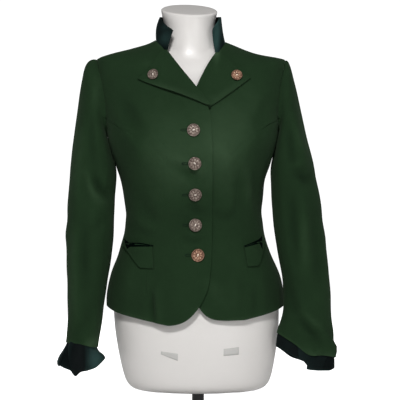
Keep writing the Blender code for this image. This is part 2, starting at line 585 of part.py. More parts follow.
def cuff(name, side, inner, normals, table, vent, stuff):
    """A flared cuff that comes out of the sleeve and is open at a vent, where one end laps the other."""
    turns = np.concatenate((ARM_FRONT[:-1], ARM_UNDER[:-1], ARM_BACK[:-1]))
    table = np.asarray(table)
    table = np.vstack((table, table[:1] + (360, 0, 0)))
    shape_at = smooth_table(table[:, 0], table[:, 1:])
    start = int(np.argmin(np.abs(turns - vent)))
    order = (np.arange(len(turns) + 1) + start) % len(turns)
    end, above = inner[-1][order], inner[-2][order]
    out = normals[-1][order]
    up = above - end
    up /= np.linalg.norm(up, axis=-1, keepdims=True)
    flare, length = np.moveaxis(shape_at(turns[order]), -1, 0)
    # The lapping end turns past the vent, one wall further out
    lap = np.zeros(len(order))
    lap[-1], lap[-2] = VELVET + 2 * SEAM_GAP, (VELVET + SEAM_GAP) * 0.5
    overlap = np.zeros(len(order))
    overlap[-1] = VENT_LAP / 1000
    sideways = np.roll(end, -1, axis=0) - np.roll(end, 1, axis=0)
    sideways[-1] = end[1] - end[0]
    sideways /= np.linalg.norm(sideways, axis=-1, keepdims=True)
    rows = [end + up * CUFF_TUCK, end]
    for step in range(1, CUFF_STEPS + 1):
        share = step / CUFF_STEPS
        open_out = (flare * share ** 1.4 + lap * min(1.0, 2 * share))[:, None]
        rows.append(end - up * (length * share)[:, None] + out * open_out
                    + sideways * (overlap * min(1.0, 2 * share))[:, None])
    outer = np.stack(rows)
    outer[:2] -= out * CUFF_CLEAR
    draw = slice(0, 2)
    step = outer[draw, 1] - outer[draw, 0]
    outer[draw, 0] += step / np.linalg.norm(step, axis=-1, keepdims=True) * SEAM_GAP
    step = outer[draw, -2] - outer[draw, -1]
    outer[draw, -1] += step / np.linalg.norm(step, axis=-1, keepdims=True) * SEAM_GAP
    turned = grid_normals(outer, ring=False)
    turned *= np.sign(np.sum(turned * out))
    turned[:2] = out
    wall(name, mirrored(outer, side), mirrored(outer - turned * VELVET, side), stuff)


def collar(stuff):
    """A stand collar round the neckline, open in front."""
    sides, rims = [], []
    for side, table, ends in ((-1, EDGE_RIGHT, COLLAR_FRONT_RIGHT), (1, EDGE_LEFT, COLLAR_FRONT_LEFT)):
        edge = front_edge(table, side)[COLLAR_ROW:]
        round_back = np.column_stack((np.linspace(90, 180, NECK_STEPS + 1)[1:], np.full(NECK_STEPS, NECKLINE)))
        spots = np.vstack((edge, round_back))
        start = spots[0, 0]
        middle = (start + 90) / 2
        tops = np.vstack(([(start, *ends[0])], [(middle, *ends[1])], COLLAR_TOP))
        base = figure(spots[:, 0], spots[:, 1])
        top = smooth_table(tops[:, 0], tops[:, 1:])(spots[:, 0])
        sides.append((mirrored(base, side), mirrored(top, side)))
        rims.append(mirrored(base - figure_normal(spots[:, 0], spots[:, 1]) * WOOL, side))
    base = np.concatenate((sides[0][0], sides[1][0][-2::-1]))
    top = np.concatenate((sides[0][1], sides[1][1][-2::-1]))
    inward = -base * (1, 1, 0)
    inward /= np.linalg.norm(inward, axis=-1, keepdims=True)
    rim = np.concatenate((rims[0], rims[1][-2::-1]))
    inset = np.maximum(np.sum((rim - base) * inward, axis=-1, keepdims=True), 0) + SEAM_GAP
    base = base + inward * inset - np.array((0, 0, 0.6 * WOOL))
    bow = np.interp(base[:, :1], (base[:, 0].min(), base[:, 0].max()), (COLLAR_BOW_RIGHT, COLLAR_BOW_LEFT))
    rows = []
    for share in np.linspace(0, 1, COLLAR_STEPS + 1):
        rows.append(base + (top - base) * share + inward * bow * math.sin(math.pi * share))
    outer = np.stack(rows)
    normals = grid_normals(outer, ring=False)
    normals *= np.sign(np.sum(normals[0] * -inward))
    wall("collar", outer, outer - normals * VELVET, stuff)


def pocket(name, side, corners, lie, stuff):
    """A welt sewn down at its foot and ends, its top edge standing off the jacket."""
    corners = np.asarray(corners) * (side, 1)
    inner_top, inner_foot, outer_foot, outer_middle, outer_top, top_middle = corners
    across, up = 5, 4
    flat = patch(spread((inner_foot, outer_foot), across), spread((inner_top, top_middle, outer_top), across),
                 spread((inner_foot, inner_top), up), spread((outer_foot, outer_middle, outer_top), up))
    spots = place(flat[..., 0], flat[..., 1])
    base, normal = figure(spots[..., 0], spots[..., 1]), figure_normal(spots[..., 0], spots[..., 1])
    rise = np.linspace(0, 1, up + 1)[:, None] ** 2
    middle = np.sin(np.linspace(0, np.pi, across + 1))[None, :] ** 0.6
    lift = lie + POCKET_MOUTH * rise * middle
    inner = base + normal * lift[..., None]
    wall(name, mirrored(inner + normal * WOOL, side), mirrored(inner, side), stuff)


def button(name, spot, under, radius, stuff):
    """A turned metal button on its shank, square to the cloth that it is sewn to."""
    angle, level = place(*spot)
    normal = Vector(figure_normal(angle, level))
    start = Vector(leaned(figure(angle, level))) + normal * 0.05
    hit, facing = BVHTree.FromObject(under, bpy.context.evaluated_depsgraph_get()).ray_cast(start, -normal)[:2]
    bm = bmesh.new()
    verts = [bm.verts.new((share * radius, 0, height)) for share, height in BUTTON_PROFILE]
    edges = [bm.edges.new(pair) for pair in zip(verts, verts[1:], strict=False)]
    bmesh.ops.spin(bm, geom=verts + edges, cent=(0, 0, 0), axis=(0, 0, 1), angle=2 * math.pi, steps=BUTTON_SIDES,
                   use_merge=True)
    bmesh.ops.remove_doubles(bm, verts=bm.verts[:], dist=1e-6)
    made = object_from(bm, name, stuff)
    made.rotation_mode = "QUATERNION"
    made.rotation_quaternion = facing.to_track_quat("Z", "Y")
    made.location = hit + facing * TOUCH_GAP


def form(stuff):
    """The dress form: hips, the figure inside the cloth, neck and tilted cap, closed at both ends."""
    angles = np.arange(FORM_STEPS) * 360 / FORM_STEPS
    rings = []
    for height, half, front_depth, back_depth in FORM_FOOT_ROWS:
        radius, across, ahead = ring_point(angles, half, front_depth, back_depth, 2.2)
        rings.append(np.column_stack((radius * across, -radius * ahead, np.full(len(angles), height))))
    for level in FORM_LEVELS:
        inset = WOOL + EASE_AT(level)[0]
        levels = np.full(len(angles), level)
        signed = np.where(angles > 180, angles - 360, angles)
        rings.append(figure(signed, levels) - figure_normal(signed, levels) * inset)
    neckline = rings[-1]
    for share, rise in NECK_ROOT:
        rings.append(neckline * (share, share, 1) + (0, 0, rise))
    for height, half, front_depth, back_depth, rise in FORM_NECK_ROWS:
        radius, across, ahead = ring_point(angles, half, front_depth, back_depth, 2.0)
        x, y = radius * across, -radius * ahead
        share = np.clip((height - NECKLINE) / 0.05, 0, 1)
        rings.append(np.column_stack((x, y, height + rise * y - CAP_ROLL * share * x)))
    bm = bmesh.new()
    loops = [[bm.verts.new(point) for point in leaned(ring)] for ring in rings]
    for low, high in zip(loops, loops[1:], strict=False):
        for i in range(FORM_STEPS):
            k = (i + 1) % FORM_STEPS
            bm.faces.new((low[i], low[k], high[k], high[i]))
    bm.faces.new(loops[0][::-1])
    bm.faces.new(loops[-1])
    return object_from(bm, "form", stuff)


def disc(name, radius, low, high, sides, edge, stuff):
    """An upright round bar or plate with softened edges."""
    bm = bmesh.new()
    bmesh.ops.create_cone(bm, cap_ends=True, segments=sides, radius1=radius, radius2=radius, depth=high - low)
    rims = [item for item in bm.edges if abs(item.verts[0].co.z - item.verts[1].co.z) < 1e-6]
    bmesh.ops.bevel(bm, geom=rims, offset=edge, segments=2, profile=0.5, affect="EDGES")
    made = object_from(bm, name, stuff)
    made.location = (0, 0, (low + high) / 2)


def build():
    for item in list(bpy.data.objects):
        bpy.data.objects.remove(item, do_unlink=True)
    wool = material("green wool", (0.018, 0.042, 0.016), 0.95)
    velvet = material("dark velvet", (0.006, 0.018, 0.018), 0.85)
    white = material("white plastic", (0.74, 0.72, 0.70), 0.25)
    dark = material("dark metal", (0.05, 0.05, 0.05), 0.45, 1.0)
    metal = material("old silver", (0.42, 0.30, 0.24), 0.38, 1.0)

    right_front = front("front_right", -1, EDGE_RIGHT, lift_of_right_front, wool)
    front("front_left", 1, EDGE_LEFT, None, wool)
    for name_end, side in (("right", -1), ("left", 1)):
        side_body("side_" + name_end, side, wool)
        back("back_" + name_end, side, wool)
    right_lapel = lapel("lapel_right", -1, EDGE_RIGHT, LAPEL_RIGHT_LOWER, LAPEL_RIGHT_OUTER, lift_of_right_front, wool)
    left_lapel = lapel("lapel_left", 1, EDGE_LEFT, LAPEL_LEFT_LOWER, LAPEL_LEFT_OUTER, None, wool)
    for name_end, side, table, edge, vent in (("right", -1, SLEEVE_RIGHT, CUFF_RIGHT, VENT_RIGHT),
                                              ("left", 1, SLEEVE_LEFT, CUFF_LEFT, VENT_LEFT)):
        inner, normals = sleeve(name_end, side, table, wool)
        cuff("cuff_" + name_end, side, inner, normals, edge, vent, velvet)
    collar(velvet)
    pocket("pocket_right", -1, POCKET_RIGHT, POCKET_LIE_RIGHT, wool)
    pocket("pocket_left", 1, POCKET_LEFT, POCKET_LIE_LEFT, wool)

    for count, spot in enumerate(FRONT_BUTTONS, 1):
        button(f"button_{count}", spot, right_front, FRONT_BUTTON_RADIUS, metal)
    button("lapel_button_right", LAPEL_BUTTON_RIGHT, right_lapel, LAPEL_BUTTON_RADIUS, metal)
    button("lapel_button_left", LAPEL_BUTTON_LEFT, left_lapel, LAPEL_BUTTON_RADIUS, metal)

    form(white)
    disc("post", POST_RADIUS, BASE_THICK + TOUCH_GAP, FORM_FOOT - TOUCH_GAP, 20, 0.0006, dark)
    disc("base", BASE_RADIUS, 0.0, BASE_THICK, 40, 0.002, dark)


build()
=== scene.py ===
# %% [markdown]
# # A wool jacket on its dress form
# A fitted jacket of milled green wool stands on a white dress form. It has lapels that are buttoned back, a
# velvet stand collar, velvet cuffs, two pocket flaps and old silver buttons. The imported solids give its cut
# and its size. This lesson turns their stiff walls into cloth, works the small sewn and cast details, and
# lights it all softly. Everything is in metres, +Z is up, and the jacket faces -Y. Right and left are the
# wearer's.

# %% Load the frame
import math

import bmesh
import bpy
import numpy as np
from mathutils import Matrix, Vector
from mathutils.bvhtree import BVHTree
from mathutils.kdtree import KDTree


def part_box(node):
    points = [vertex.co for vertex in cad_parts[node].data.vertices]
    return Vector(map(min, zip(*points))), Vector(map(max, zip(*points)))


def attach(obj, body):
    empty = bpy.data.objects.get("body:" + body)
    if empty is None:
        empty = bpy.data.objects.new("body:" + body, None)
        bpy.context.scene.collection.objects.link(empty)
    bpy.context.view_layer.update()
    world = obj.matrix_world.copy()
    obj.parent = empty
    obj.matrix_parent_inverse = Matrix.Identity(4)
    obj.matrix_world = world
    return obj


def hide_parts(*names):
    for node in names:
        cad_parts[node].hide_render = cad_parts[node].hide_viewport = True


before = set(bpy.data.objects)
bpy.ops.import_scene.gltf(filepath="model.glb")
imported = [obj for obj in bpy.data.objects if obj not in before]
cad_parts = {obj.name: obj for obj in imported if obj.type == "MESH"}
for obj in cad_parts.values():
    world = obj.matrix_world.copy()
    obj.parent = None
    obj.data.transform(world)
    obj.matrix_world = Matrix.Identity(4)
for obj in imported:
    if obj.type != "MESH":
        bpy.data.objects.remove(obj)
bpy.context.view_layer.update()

scene = bpy.context.scene

# %% Make objects and meshes


def linked(name, data):
    """A new object in the scene."""
    made = bpy.data.objects.new(name, data)
    scene.collection.objects.link(made)
    return made


def mesh_from(bm, name):
    """A mesh of what a bmesh holds. The bmesh is freed."""
    mesh = bpy.data.meshes.new(name)
    bm.to_mesh(mesh)
    bm.free()
    return mesh


def shown_mesh(drawn):
    """The mesh of an object as it is shown. The object is removed."""
    mesh = bpy.data.meshes.new_from_object(drawn.evaluated_get(bpy.context.evaluated_depsgraph_get()))
    bpy.data.objects.remove(drawn)
    return mesh


# %% [markdown]
# ## The camera first
# The photograph was taken level and from far off, so upright lines stay upright and little converges. A
# long lens at three metres does the same. One pixel is then 2 mm wide at the middle of the form.

# %% Set the camera
CAMERA_AT = (0.004, -3.0, 0.496)
LENS_MM = 135.0
SENSOR_MM = 36.0

camera_data = bpy.data.cameras.new("camera")
camera_data.lens = LENS_MM
camera_data.sensor_width = SENSOR_MM
camera = linked("camera", camera_data)
camera.location = CAMERA_AT
camera.rotation_euler = (math.radians(90), 0, 0)
scene.camera = camera
print("camera at", CAMERA_AT)

# %% [markdown]
# ## Cloth from a solid wall
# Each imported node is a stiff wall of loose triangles. Its doubles are merged and its triangles joined back
# into the quads of its grid, because subdivision rounds quads evenly. The cut edges are creased, so that
# they stay where the seams are. Where two panels meet, a sewn seam has no daylight in it, so each edge is
# let out by a hair.

# %% Round a solid's wall
MERGE = 1e-6
JOIN_BEND = math.radians(40)
JOIN_SKEW = math.radians(170)
CUT_EDGE = math.radians(62)
RIM_WIDTH = 0.0038
HEM_FACES_DOWN = -0.6
HEM_TOP = 0.34
LET_OUT = 0.00042


def quads_of(node):
    """A bmesh of a CAD node, with its triangles joined back into quads."""
    bm = bmesh.new()
    bm.from_mesh(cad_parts[node].data)
    bmesh.ops.remove_doubles(bm, verts=bm.verts[:], dist=MERGE)
    bmesh.ops.join_triangles(bm, faces=bm.faces[:], angle_face_threshold=JOIN_BEND,
                             angle_shape_threshold=JOIN_SKEW)
    return bm


def let_out_edges(bm, amount):
    """Moves the narrow faces of a wall's rim outwards."""
    shift = {}
    for face in bm.faces:
        sharp = sum(edge.is_manifold and edge.calc_face_angle() > CUT_EDGE for edge in face.edges)
        if sharp >= 2 and min(edge.calc_length() for edge in face.edges) < RIM_WIDTH:
            for vert in face.verts:
                shift[vert] = shift.get(vert, Vector()) + face.normal
    for vert, way in shift.items():
        if way.length > 0:
            vert.co += way.normalized() * amount


def rounded(bm, name, levels):
    """A smooth mesh from a coarse one, with its cut edges kept, and the coarse one freed."""
    crease = bm.edges.layers.float.new("crease_edge")
    hem = bm.verts.layers.float.new("hem")
    for edge in bm.edges:
        edge[crease] = float(edge.is_manifold and edge.calc_face_angle() > CUT_EDGE)
        lowest = min(face.normal.z for face in edge.link_faces)
        if edge[crease] and edge.verts[0].co.z < HEM_TOP and lowest < HEM_FACES_DOWN:
            for vert in edge.verts:
                vert[hem] = 1.0
    mesh = mesh_from(bm, name)
    coarse = linked(name, mesh)
    smooth = coarse.modifiers.new("smooth", "SUBSURF")
    smooth.levels = smooth.render_levels = levels
    fine = shown_mesh(coarse)
    bpy.data.meshes.remove(mesh)
    crease_layer = fine.attributes.get("crease_edge")
    if crease_layer:
        fine.attributes.remove(crease_layer)
    return fine


# %% [markdown]
# ## Where the folds are
# Worn wool isn't smooth. It pulls in soft troughs between the buttons, drags at the armholes, breaks at the
# elbows and flares into low flutes below the waist. Each fold is one row: the side that it is seen from,
# its path as a distance across and a height, its width, and how far it rises. A minus sign makes it a
# trough. The back and the outer sides of the sleeves have folds of the same kind. A lap rises at once
# beside its path and slopes away from it, as the cuff's vent does where one edge lies over the other.

# %% List the folds
FRONT, BACK, RIGHT, LEFT = (0, -1), (0, 1), (-1, 0), (1, 0)
BODY_FOLDS = (
    # facing, path across and up, width, rise
    (FRONT, ((-0.045, 0.562), (-0.018, 0.546), (0.004, 0.533)), 0.011, -0.0022),
    (FRONT, ((-0.048, 0.577), (-0.02, 0.566), (0.01, 0.548)), 0.009, 0.0012),
    (FRONT, ((-0.02, 0.487), (-0.002, 0.478), (0.014, 0.47)), 0.009, -0.002),
    (FRONT, ((-0.03, 0.421), (-0.008, 0.417), (0.01, 0.42)), 0.0075, -0.0016),
    (FRONT, ((0.02, 0.606), (0.05, 0.58), (0.06, 0.548)), 0.015, 0.0012),
    (FRONT, ((0.03, 0.47), (0.055, 0.463), (0.082, 0.47)), 0.011, -0.0016),
    (FRONT, ((0.092, 0.56), (0.098, 0.52), (0.104, 0.47)), 0.008, 0.0018),
    (FRONT, ((0.108, 0.56), (0.112, 0.515), (0.116, 0.47)), 0.007, -0.0014),
    (FRONT, ((0.078, 0.545), (0.08, 0.5), (0.07, 0.462)), 0.009, -0.0012),
    (FRONT, ((-0.112, 0.52), (-0.1, 0.478), (-0.082, 0.452)), 0.012, -0.0016),
    (FRONT, ((-0.126, 0.47), (-0.104, 0.45), (-0.072, 0.44)), 0.01, 0.0013),
    (FRONT, ((-0.13, 0.45), (-0.108, 0.436), (-0.086, 0.428)), 0.007, -0.0014),
    (FRONT, ((-0.09, 0.318), (-0.0885, 0.29), (-0.087, 0.262)), 0.007, -0.0026),
    (FRONT, ((-0.078, 0.34), (-0.076, 0.3), (-0.072, 0.264)), 0.011, 0.0014),
    (FRONT, ((-0.1005, 0.362), (-0.1, 0.335), (-0.0995, 0.312)), 0.0016, -0.001),
    (FRONT, ((0.108, 0.36), (0.1095, 0.335), (0.1105, 0.31)), 0.0016, -0.0008),
    (FRONT, ((0.108, 0.33), (0.11, 0.3), (0.111, 0.268)), 0.008, -0.002),
    (FRONT, ((-0.128, 0.372), (-0.134, 0.325), (-0.138, 0.285)), 0.012, 0.0012),
    (FRONT, ((0.086, 0.35), (0.088, 0.312), (0.092, 0.276)), 0.01, -0.0012),
    (FRONT, ((0.118, 0.362), (0.124, 0.32), (0.128, 0.285)), 0.011, 0.0012),
    (FRONT, ((-0.15, 0.7), (-0.128, 0.668), (-0.108, 0.63)), 0.011, -0.0018),
    (FRONT, ((-0.158, 0.672), (-0.138, 0.64), (-0.12, 0.6)), 0.009, 0.0012),
    (FRONT, ((0.142, 0.7), (0.124, 0.672), (0.108, 0.64)), 0.011, -0.0014),
    (FRONT, ((0.15, 0.66), (0.134, 0.628), (0.122, 0.592)), 0.009, 0.0012),
    (FRONT, ((-0.12, 0.77), (-0.095, 0.762), (-0.07, 0.752)), 0.012, 0.001),
    (FRONT, ((0.01, 0.345), (0.03, 0.33), (0.042, 0.305)), 0.012, 0.0009),
    (BACK, ((-0.11, 0.478), (-0.07, 0.47), (-0.03, 0.476)), 0.01, -0.002),
    (BACK, ((-0.1, 0.458), (-0.06, 0.448), (-0.026, 0.452)), 0.0085, 0.0016),
    (BACK, ((0.026, 0.48), (0.064, 0.472), (0.102, 0.482)), 0.01, -0.002),
    (BACK, ((0.02, 0.454), (0.06, 0.446), (0.096, 0.454)), 0.008, 0.0015),
    (BACK, ((-0.13, 0.69), (-0.1, 0.64), (-0.082, 0.57)), 0.013, -0.0018),
    (BACK, ((0.122, 0.69), (0.096, 0.636), (0.078, 0.572)), 0.013, -0.0018),
    (BACK, ((-0.146, 0.655), (-0.12, 0.61), (-0.106, 0.56)), 0.01, 0.0014),
    (BACK, ((0.136, 0.655), (0.114, 0.612), (0.1, 0.556)), 0.01, 0.0014),
    (BACK, ((-0.04, 0.79), (-0.012, 0.782), (0.02, 0.79)), 0.011, -0.0012),
    (BACK, ((-0.06, 0.4), (-0.066, 0.345), (-0.07, 0.286)), 0.013, 0.0022),
    (BACK, ((0.052, 0.4), (0.06, 0.345), (0.066, 0.286)), 0.013, 0.0022),
    (BACK, ((-0.03, 0.36), (-0.032, 0.32), (-0.034, 0.282)), 0.011, -0.0016),
    (BACK, ((0.022, 0.365), (0.026, 0.32), (0.028, 0.282)), 0.011, -0.0016),
    (RIGHT, ((-0.05, 0.478), (0.000, 0.466), (0.05, 0.474)), 0.014, -0.0005),
    (RIGHT, ((-0.03, 0.455), (0.01, 0.448), (0.044, 0.45)), 0.014, 0.0003),
    (RIGHT, ((0.02, 0.38), (0.028, 0.33), (0.032, 0.295)), 0.012, -0.0018),
    (LEFT, ((-0.05, 0.482), (0.000, 0.47), (0.052, 0.476)), 0.014, -0.0005),
    (LEFT, ((-0.028, 0.458), (0.012, 0.45), (0.046, 0.454)), 0.014, 0.0003),
    (LEFT, ((0.018, 0.385), (0.024, 0.33), (0.03, 0.295)), 0.012, -0.0018),
)
RIGHT_CUFF_LAPS = (
    (FRONT, ((-0.24, 0.15), (-0.2446, 0.176), (-0.248, 0.206)), 0.026, 0.0042),
    (FRONT, ((-0.214, 0.15), (-0.212, 0.18), (-0.214, 0.206)), 0.02, -0.003),
)
LEFT_CUFF_LAPS = (
    (FRONT, ((0.206, 0.15), (0.201, 0.172), (0.196, 0.19)), 0.022, 0.003),
    (FRONT, ((0.24, 0.15), (0.244, 0.17), (0.25, 0.19)), 0.018, -0.002),
)
RIGHT_SLEEVE_FOLDS = (
    (FRONT, ((-0.204, 0.544), (-0.192, 0.52), (-0.172, 0.503)), 0.0105, -0.0038),
    (FRONT, ((-0.222, 0.556), (-0.206, 0.512), (-0.182, 0.484)), 0.0095, 0.0024),
    (FRONT, ((-0.236, 0.64), (-0.24, 0.56), (-0.238, 0.48)), 0.013, 0.002),
    (FRONT, ((-0.212, 0.66), (-0.208, 0.6), (-0.2, 0.56)), 0.011, -0.0022),
    (FRONT, ((-0.222, 0.47), (-0.224, 0.4), (-0.218, 0.32)), 0.013, -0.0022),
    (FRONT, ((-0.238, 0.44), (-0.242, 0.36), (-0.24, 0.26)), 0.012, 0.002),
    (FRONT, ((-0.18, 0.47), (-0.196, 0.446), (-0.216, 0.438)), 0.009, -0.0018),
    (FRONT, ((-0.206, 0.3), (-0.216, 0.262), (-0.236, 0.24)), 0.011, -0.0016),
    (FRONT, ((-0.196, 0.74), (-0.202, 0.7), (-0.204, 0.665)), 0.013, 0.0016),
    (BACK, ((-0.176, 0.508), (-0.2, 0.486), (-0.226, 0.47)), 0.011, -0.0034),
    (BACK, ((-0.178, 0.484), (-0.204, 0.462), (-0.232, 0.452)), 0.009, 0.0024),
    (BACK, ((-0.188, 0.456), (-0.208, 0.44), (-0.232, 0.43)), 0.0085, -0.0022),
    (BACK, ((-0.19, 0.7), (-0.206, 0.65), (-0.212, 0.58)), 0.013, -0.0022),
    (BACK, ((-0.23, 0.4), (-0.226, 0.33), (-0.228, 0.25)), 0.013, 0.002),
    (RIGHT, ((-0.05, 0.47), (-0.02, 0.452), (0.016, 0.462)), 0.016, -0.0006),
    (RIGHT, ((-0.046, 0.44), (-0.02, 0.428), (0.01, 0.436)), 0.016, 0.0004),
    (RIGHT, ((-0.01, 0.72), (-0.006, 0.64), (-0.012, 0.56)), 0.014, 0.0016),
    (RIGHT, ((-0.03, 0.4), (-0.04, 0.33), (-0.05, 0.25)), 0.013, -0.0018),
)
LEFT_SLEEVE_FOLDS = (
    (FRONT, ((0.196, 0.548), (0.212, 0.536), (0.226, 0.542)), 0.01, -0.003),
    (FRONT, ((0.18, 0.562), (0.196, 0.566), (0.212, 0.572)), 0.008, 0.002),
    (FRONT, ((0.19, 0.66), (0.202, 0.61), (0.218, 0.566)), 0.011, 0.0022),
    (FRONT, ((0.176, 0.64), (0.184, 0.59), (0.188, 0.548)), 0.01, -0.0022),
    (FRONT, ((0.206, 0.52), (0.21, 0.44), (0.208, 0.35)), 0.014, 0.002),
    (FRONT, ((0.186, 0.5), (0.19, 0.44), (0.196, 0.38)), 0.011, -0.002),
    (FRONT, ((0.228, 0.48), (0.236, 0.4), (0.24, 0.32)), 0.012, -0.0018),
    (FRONT, ((0.202, 0.262), (0.22, 0.242), (0.244, 0.222)), 0.0085, -0.0032),
    (FRONT, ((0.206, 0.282), (0.228, 0.258), (0.252, 0.236)), 0.009, 0.0022),
    (FRONT, ((0.214, 0.214), (0.228, 0.206), (0.238, 0.21)), 0.006, 0.0022),
    (FRONT, ((0.216, 0.222), (0.23, 0.215), (0.242, 0.218)), 0.0045, -0.0018),
    (FRONT, ((0.18, 0.33), (0.19, 0.29), (0.2, 0.262)), 0.011, -0.0018),
    (BACK, ((0.168, 0.508), (0.192, 0.486), (0.22, 0.47)), 0.011, -0.0034),
    (BACK, ((0.172, 0.484), (0.198, 0.462), (0.228, 0.452)), 0.009, 0.0024),
    (BACK, ((0.182, 0.456), (0.204, 0.44), (0.232, 0.43)), 0.0085, -0.0022),
    (BACK, ((0.18, 0.7), (0.192, 0.65), (0.2, 0.58)), 0.013, -0.0022),
    (BACK, ((0.226, 0.4), (0.232, 0.33), (0.236, 0.26)), 0.013, 0.002),
    (LEFT, ((-0.052, 0.468), (-0.024, 0.452), (0.012, 0.46)), 0.016, -0.0006),
    (LEFT, ((-0.06, 0.43), (-0.03, 0.418), (0.000, 0.426)), 0.016, 0.0004),
    (LEFT, ((-0.086, 0.25), (-0.066, 0.226), (-0.044, 0.214)), 0.009, -0.0026),
    (LEFT, ((-0.01, 0.72), (-0.006, 0.64), (-0.014, 0.56)), 0.014, 0.0016),
)
print("folds:", len(BODY_FOLDS) + len(RIGHT_SLEEVE_FOLDS) + len(LEFT_SLEEVE_FOLDS))

# %% [markdown]
# ## Pulls and places of painted light and shade
# The cloth also hangs a few millimetres off its stiff solid in places: the collar's ends spring open, the
# left sleeve swings in, and the cuffs flare. Each pull is a place, its reach across and up, and a move
# across and up. It acts all round unless a side is named at the end of its row. The shoulders settle, and
# the sleeves with them. Light and shade are painted into the cloth's colour: lighter on the bust and the
# shoulder blades, where the light falls, darker at the sides below the arms and across the waist, where shade
# falls, and painted sheen on parts of the velvet collar and cuffs.

# %% List the pulls and the places of painted light and shade
LAPEL_FOLDS = (
    (FRONT, ((-0.118, 0.728), (-0.06, 0.709), (0.012, 0.68)), 0.01, 0.0032),
    (FRONT, ((0.1, 0.736), (0.06, 0.708), (0.018, 0.68)), 0.008, 0.0012),
)
SHOULDER_PULLS = (
    # across, height, reach across, reach up, move across, move up, then a facing if it isn't all round
    (0.115, 0.79, 0.07, 0.04, 0.0, -0.0036),
    (-0.1, 0.795, 0.055, 0.035, 0.0, -0.0016),
)
BODY_PULLS = (
    (-0.135, 0.56, 0.05, 0.09, -0.003, 0.0),
    (-0.14, 0.4, 0.05, 0.07, -0.0024, 0.0),
    (0.11, 0.6, 0.05, 0.06, 0.0022, 0.0),
    (0.105, 0.787, 0.05, 0.03, 0.0, -0.0056),
    (-0.09, 0.275, 0.08, 0.03, 0.0, -0.0038),
    (0.06, 0.285, 0.08, 0.03, 0.0, -0.0022),
    (-0.158, 0.61, 0.022, 0.06, -0.0034, 0.0),
    (0.152, 0.61, 0.022, 0.055, 0.003, 0.0),
    (-0.17, 0.3, 0.03, 0.035, -0.0036, -0.0012),
)
RIGHT_ARM_PULLS = (
    (-0.24, 0.66, 0.034, 0.12, 0.0042, 0.0),
    (-0.166, 0.6, 0.016, 0.06, 0.0022, 0.0),
    (-0.262, 0.195, 0.02, 0.018, -0.005, 0.0),
    (-0.228, 0.214, 0.03, 0.012, 0.0, 0.0078),
    (-0.2355, 0.165, 0.007, 0.014, 0.0, -0.01),
    (-0.268, 0.178, 0.014, 0.014, 0.0, 0.0055),
    (-0.206, 0.17, 0.012, 0.01, 0.0, 0.002),
    (-0.183, 0.19, 0.012, 0.012, 0.008, 0.007),
)
LEFT_ARM_PULLS = (
    (0.24, 0.43, 0.06, 0.13, -0.0034, 0.0),
    (0.19, 0.3, 0.04, 0.09, -0.0034, 0.0),
    (0.172, 0.42, 0.026, 0.09, -0.004, 0.0),
    (0.16, 0.6, 0.015, 0.055, -0.002, 0.0),
    (0.218, 0.665, 0.028, 0.08, -0.0024, 0.0),
    (0.248, 0.5, 0.024, 0.08, 0.0028, 0.0),
    (0.262, 0.208, 0.016, 0.028, 0.0085, 0.0),
    (0.268, 0.166, 0.014, 0.014, -0.004, -0.002),
    (0.27, 0.156, 0.012, 0.011, -0.0075, 0.0006),
    (0.184, 0.188, 0.018, 0.014, 0.0, -0.0034),
    (0.212, 0.166, 0.011, 0.01, -0.001, -0.0032),
    (0.214, 0.206, 0.028, 0.014, 0.0, -0.012),
    (0.16, 0.225, 0.016, 0.024, -0.005, 0.006),
)
COLLAR_PULLS = (
    (-0.053, 0.822, 0.016, 0.014, 0.0006, 0.0064, FRONT),
    (0.027, 0.825, 0.014, 0.014, 0.0, 0.005, FRONT),
    (-0.08, 0.845, 0.034, 0.034, -0.0034, 0.0),
    (0.052, 0.845, 0.034, 0.034, 0.0034, 0.0),
    (0.105, 0.787, 0.05, 0.03, 0.0, -0.0056),
)
# Painted light and shade, kept in a mesh attribute: a base level, fold ridges painted lighter and troughs
# darker by their rise, a lighter band along the lower cut edges, and the places listed below.
PAINTED_SHADING_BASE = 0.16
PAINTED_SHADING_PER_METRE_OF_RISE = 55.0
HEM_LIGHTER = 0.3
HEM_SHARPNESS = 5
PAINTED_SHADING_PLACES = (
    # facing, across, height, reach across, reach up, amount
    (FRONT, -0.055, 0.58, 0.062, 0.075, 0.36),
    (FRONT, 0.048, 0.6, 0.055, 0.08, 0.46),
    (FRONT, 0.11, 0.66, 0.045, 0.07, 0.14),
    (FRONT, -0.14, 0.585, 0.027, 0.095, -0.4),
    (FRONT, 0.13, 0.575, 0.026, 0.08, -0.28),
    (FRONT, -0.16, 0.33, 0.036, 0.09, -0.3),
    (FRONT, 0.158, 0.33, 0.036, 0.09, -0.24),
    (FRONT, 0.0, 0.47, 0.12, 0.045, -0.16),
    (FRONT, 0.205, 0.5, 0.05, 0.2, -0.12),
    (FRONT, -0.196, 0.188, 0.015, 0.03, 2.00),
    (FRONT, -0.23, 0.186, 0.012, 0.03, -0.6),
    (FRONT, -0.068, 0.812, 0.014, 0.012, 0.9),
    (FRONT, -0.064, 0.836, 0.012, 0.008, 0.4),
    (FRONT, 0.036, 0.822, 0.007, 0.036, 2.6),
    (BACK, -0.07, 0.69, 0.06, 0.07, 0.3),
    (BACK, 0.07, 0.69, 0.06, 0.07, 0.3),
)
print("faded places:", len(PAINTED_SHADING_PLACES))

# %% [markdown]
# ## Pressing the folds in
# A fold moves every point near its path out from the middle of the body or of the arm. The wall's two faces
# move together, so the cloth keeps its thickness. The rise dies away to the ends and to the sides, and a
# faint hollow runs along both flanks, as cloth has it. A few slow waves give the surface between the folds
# its slight unevenness. An armhole seam joins pieces that would move different ways, so near it everything
# stays where it is sewn. Only the settling of the shoulders moves both sides of that seam, and alike.

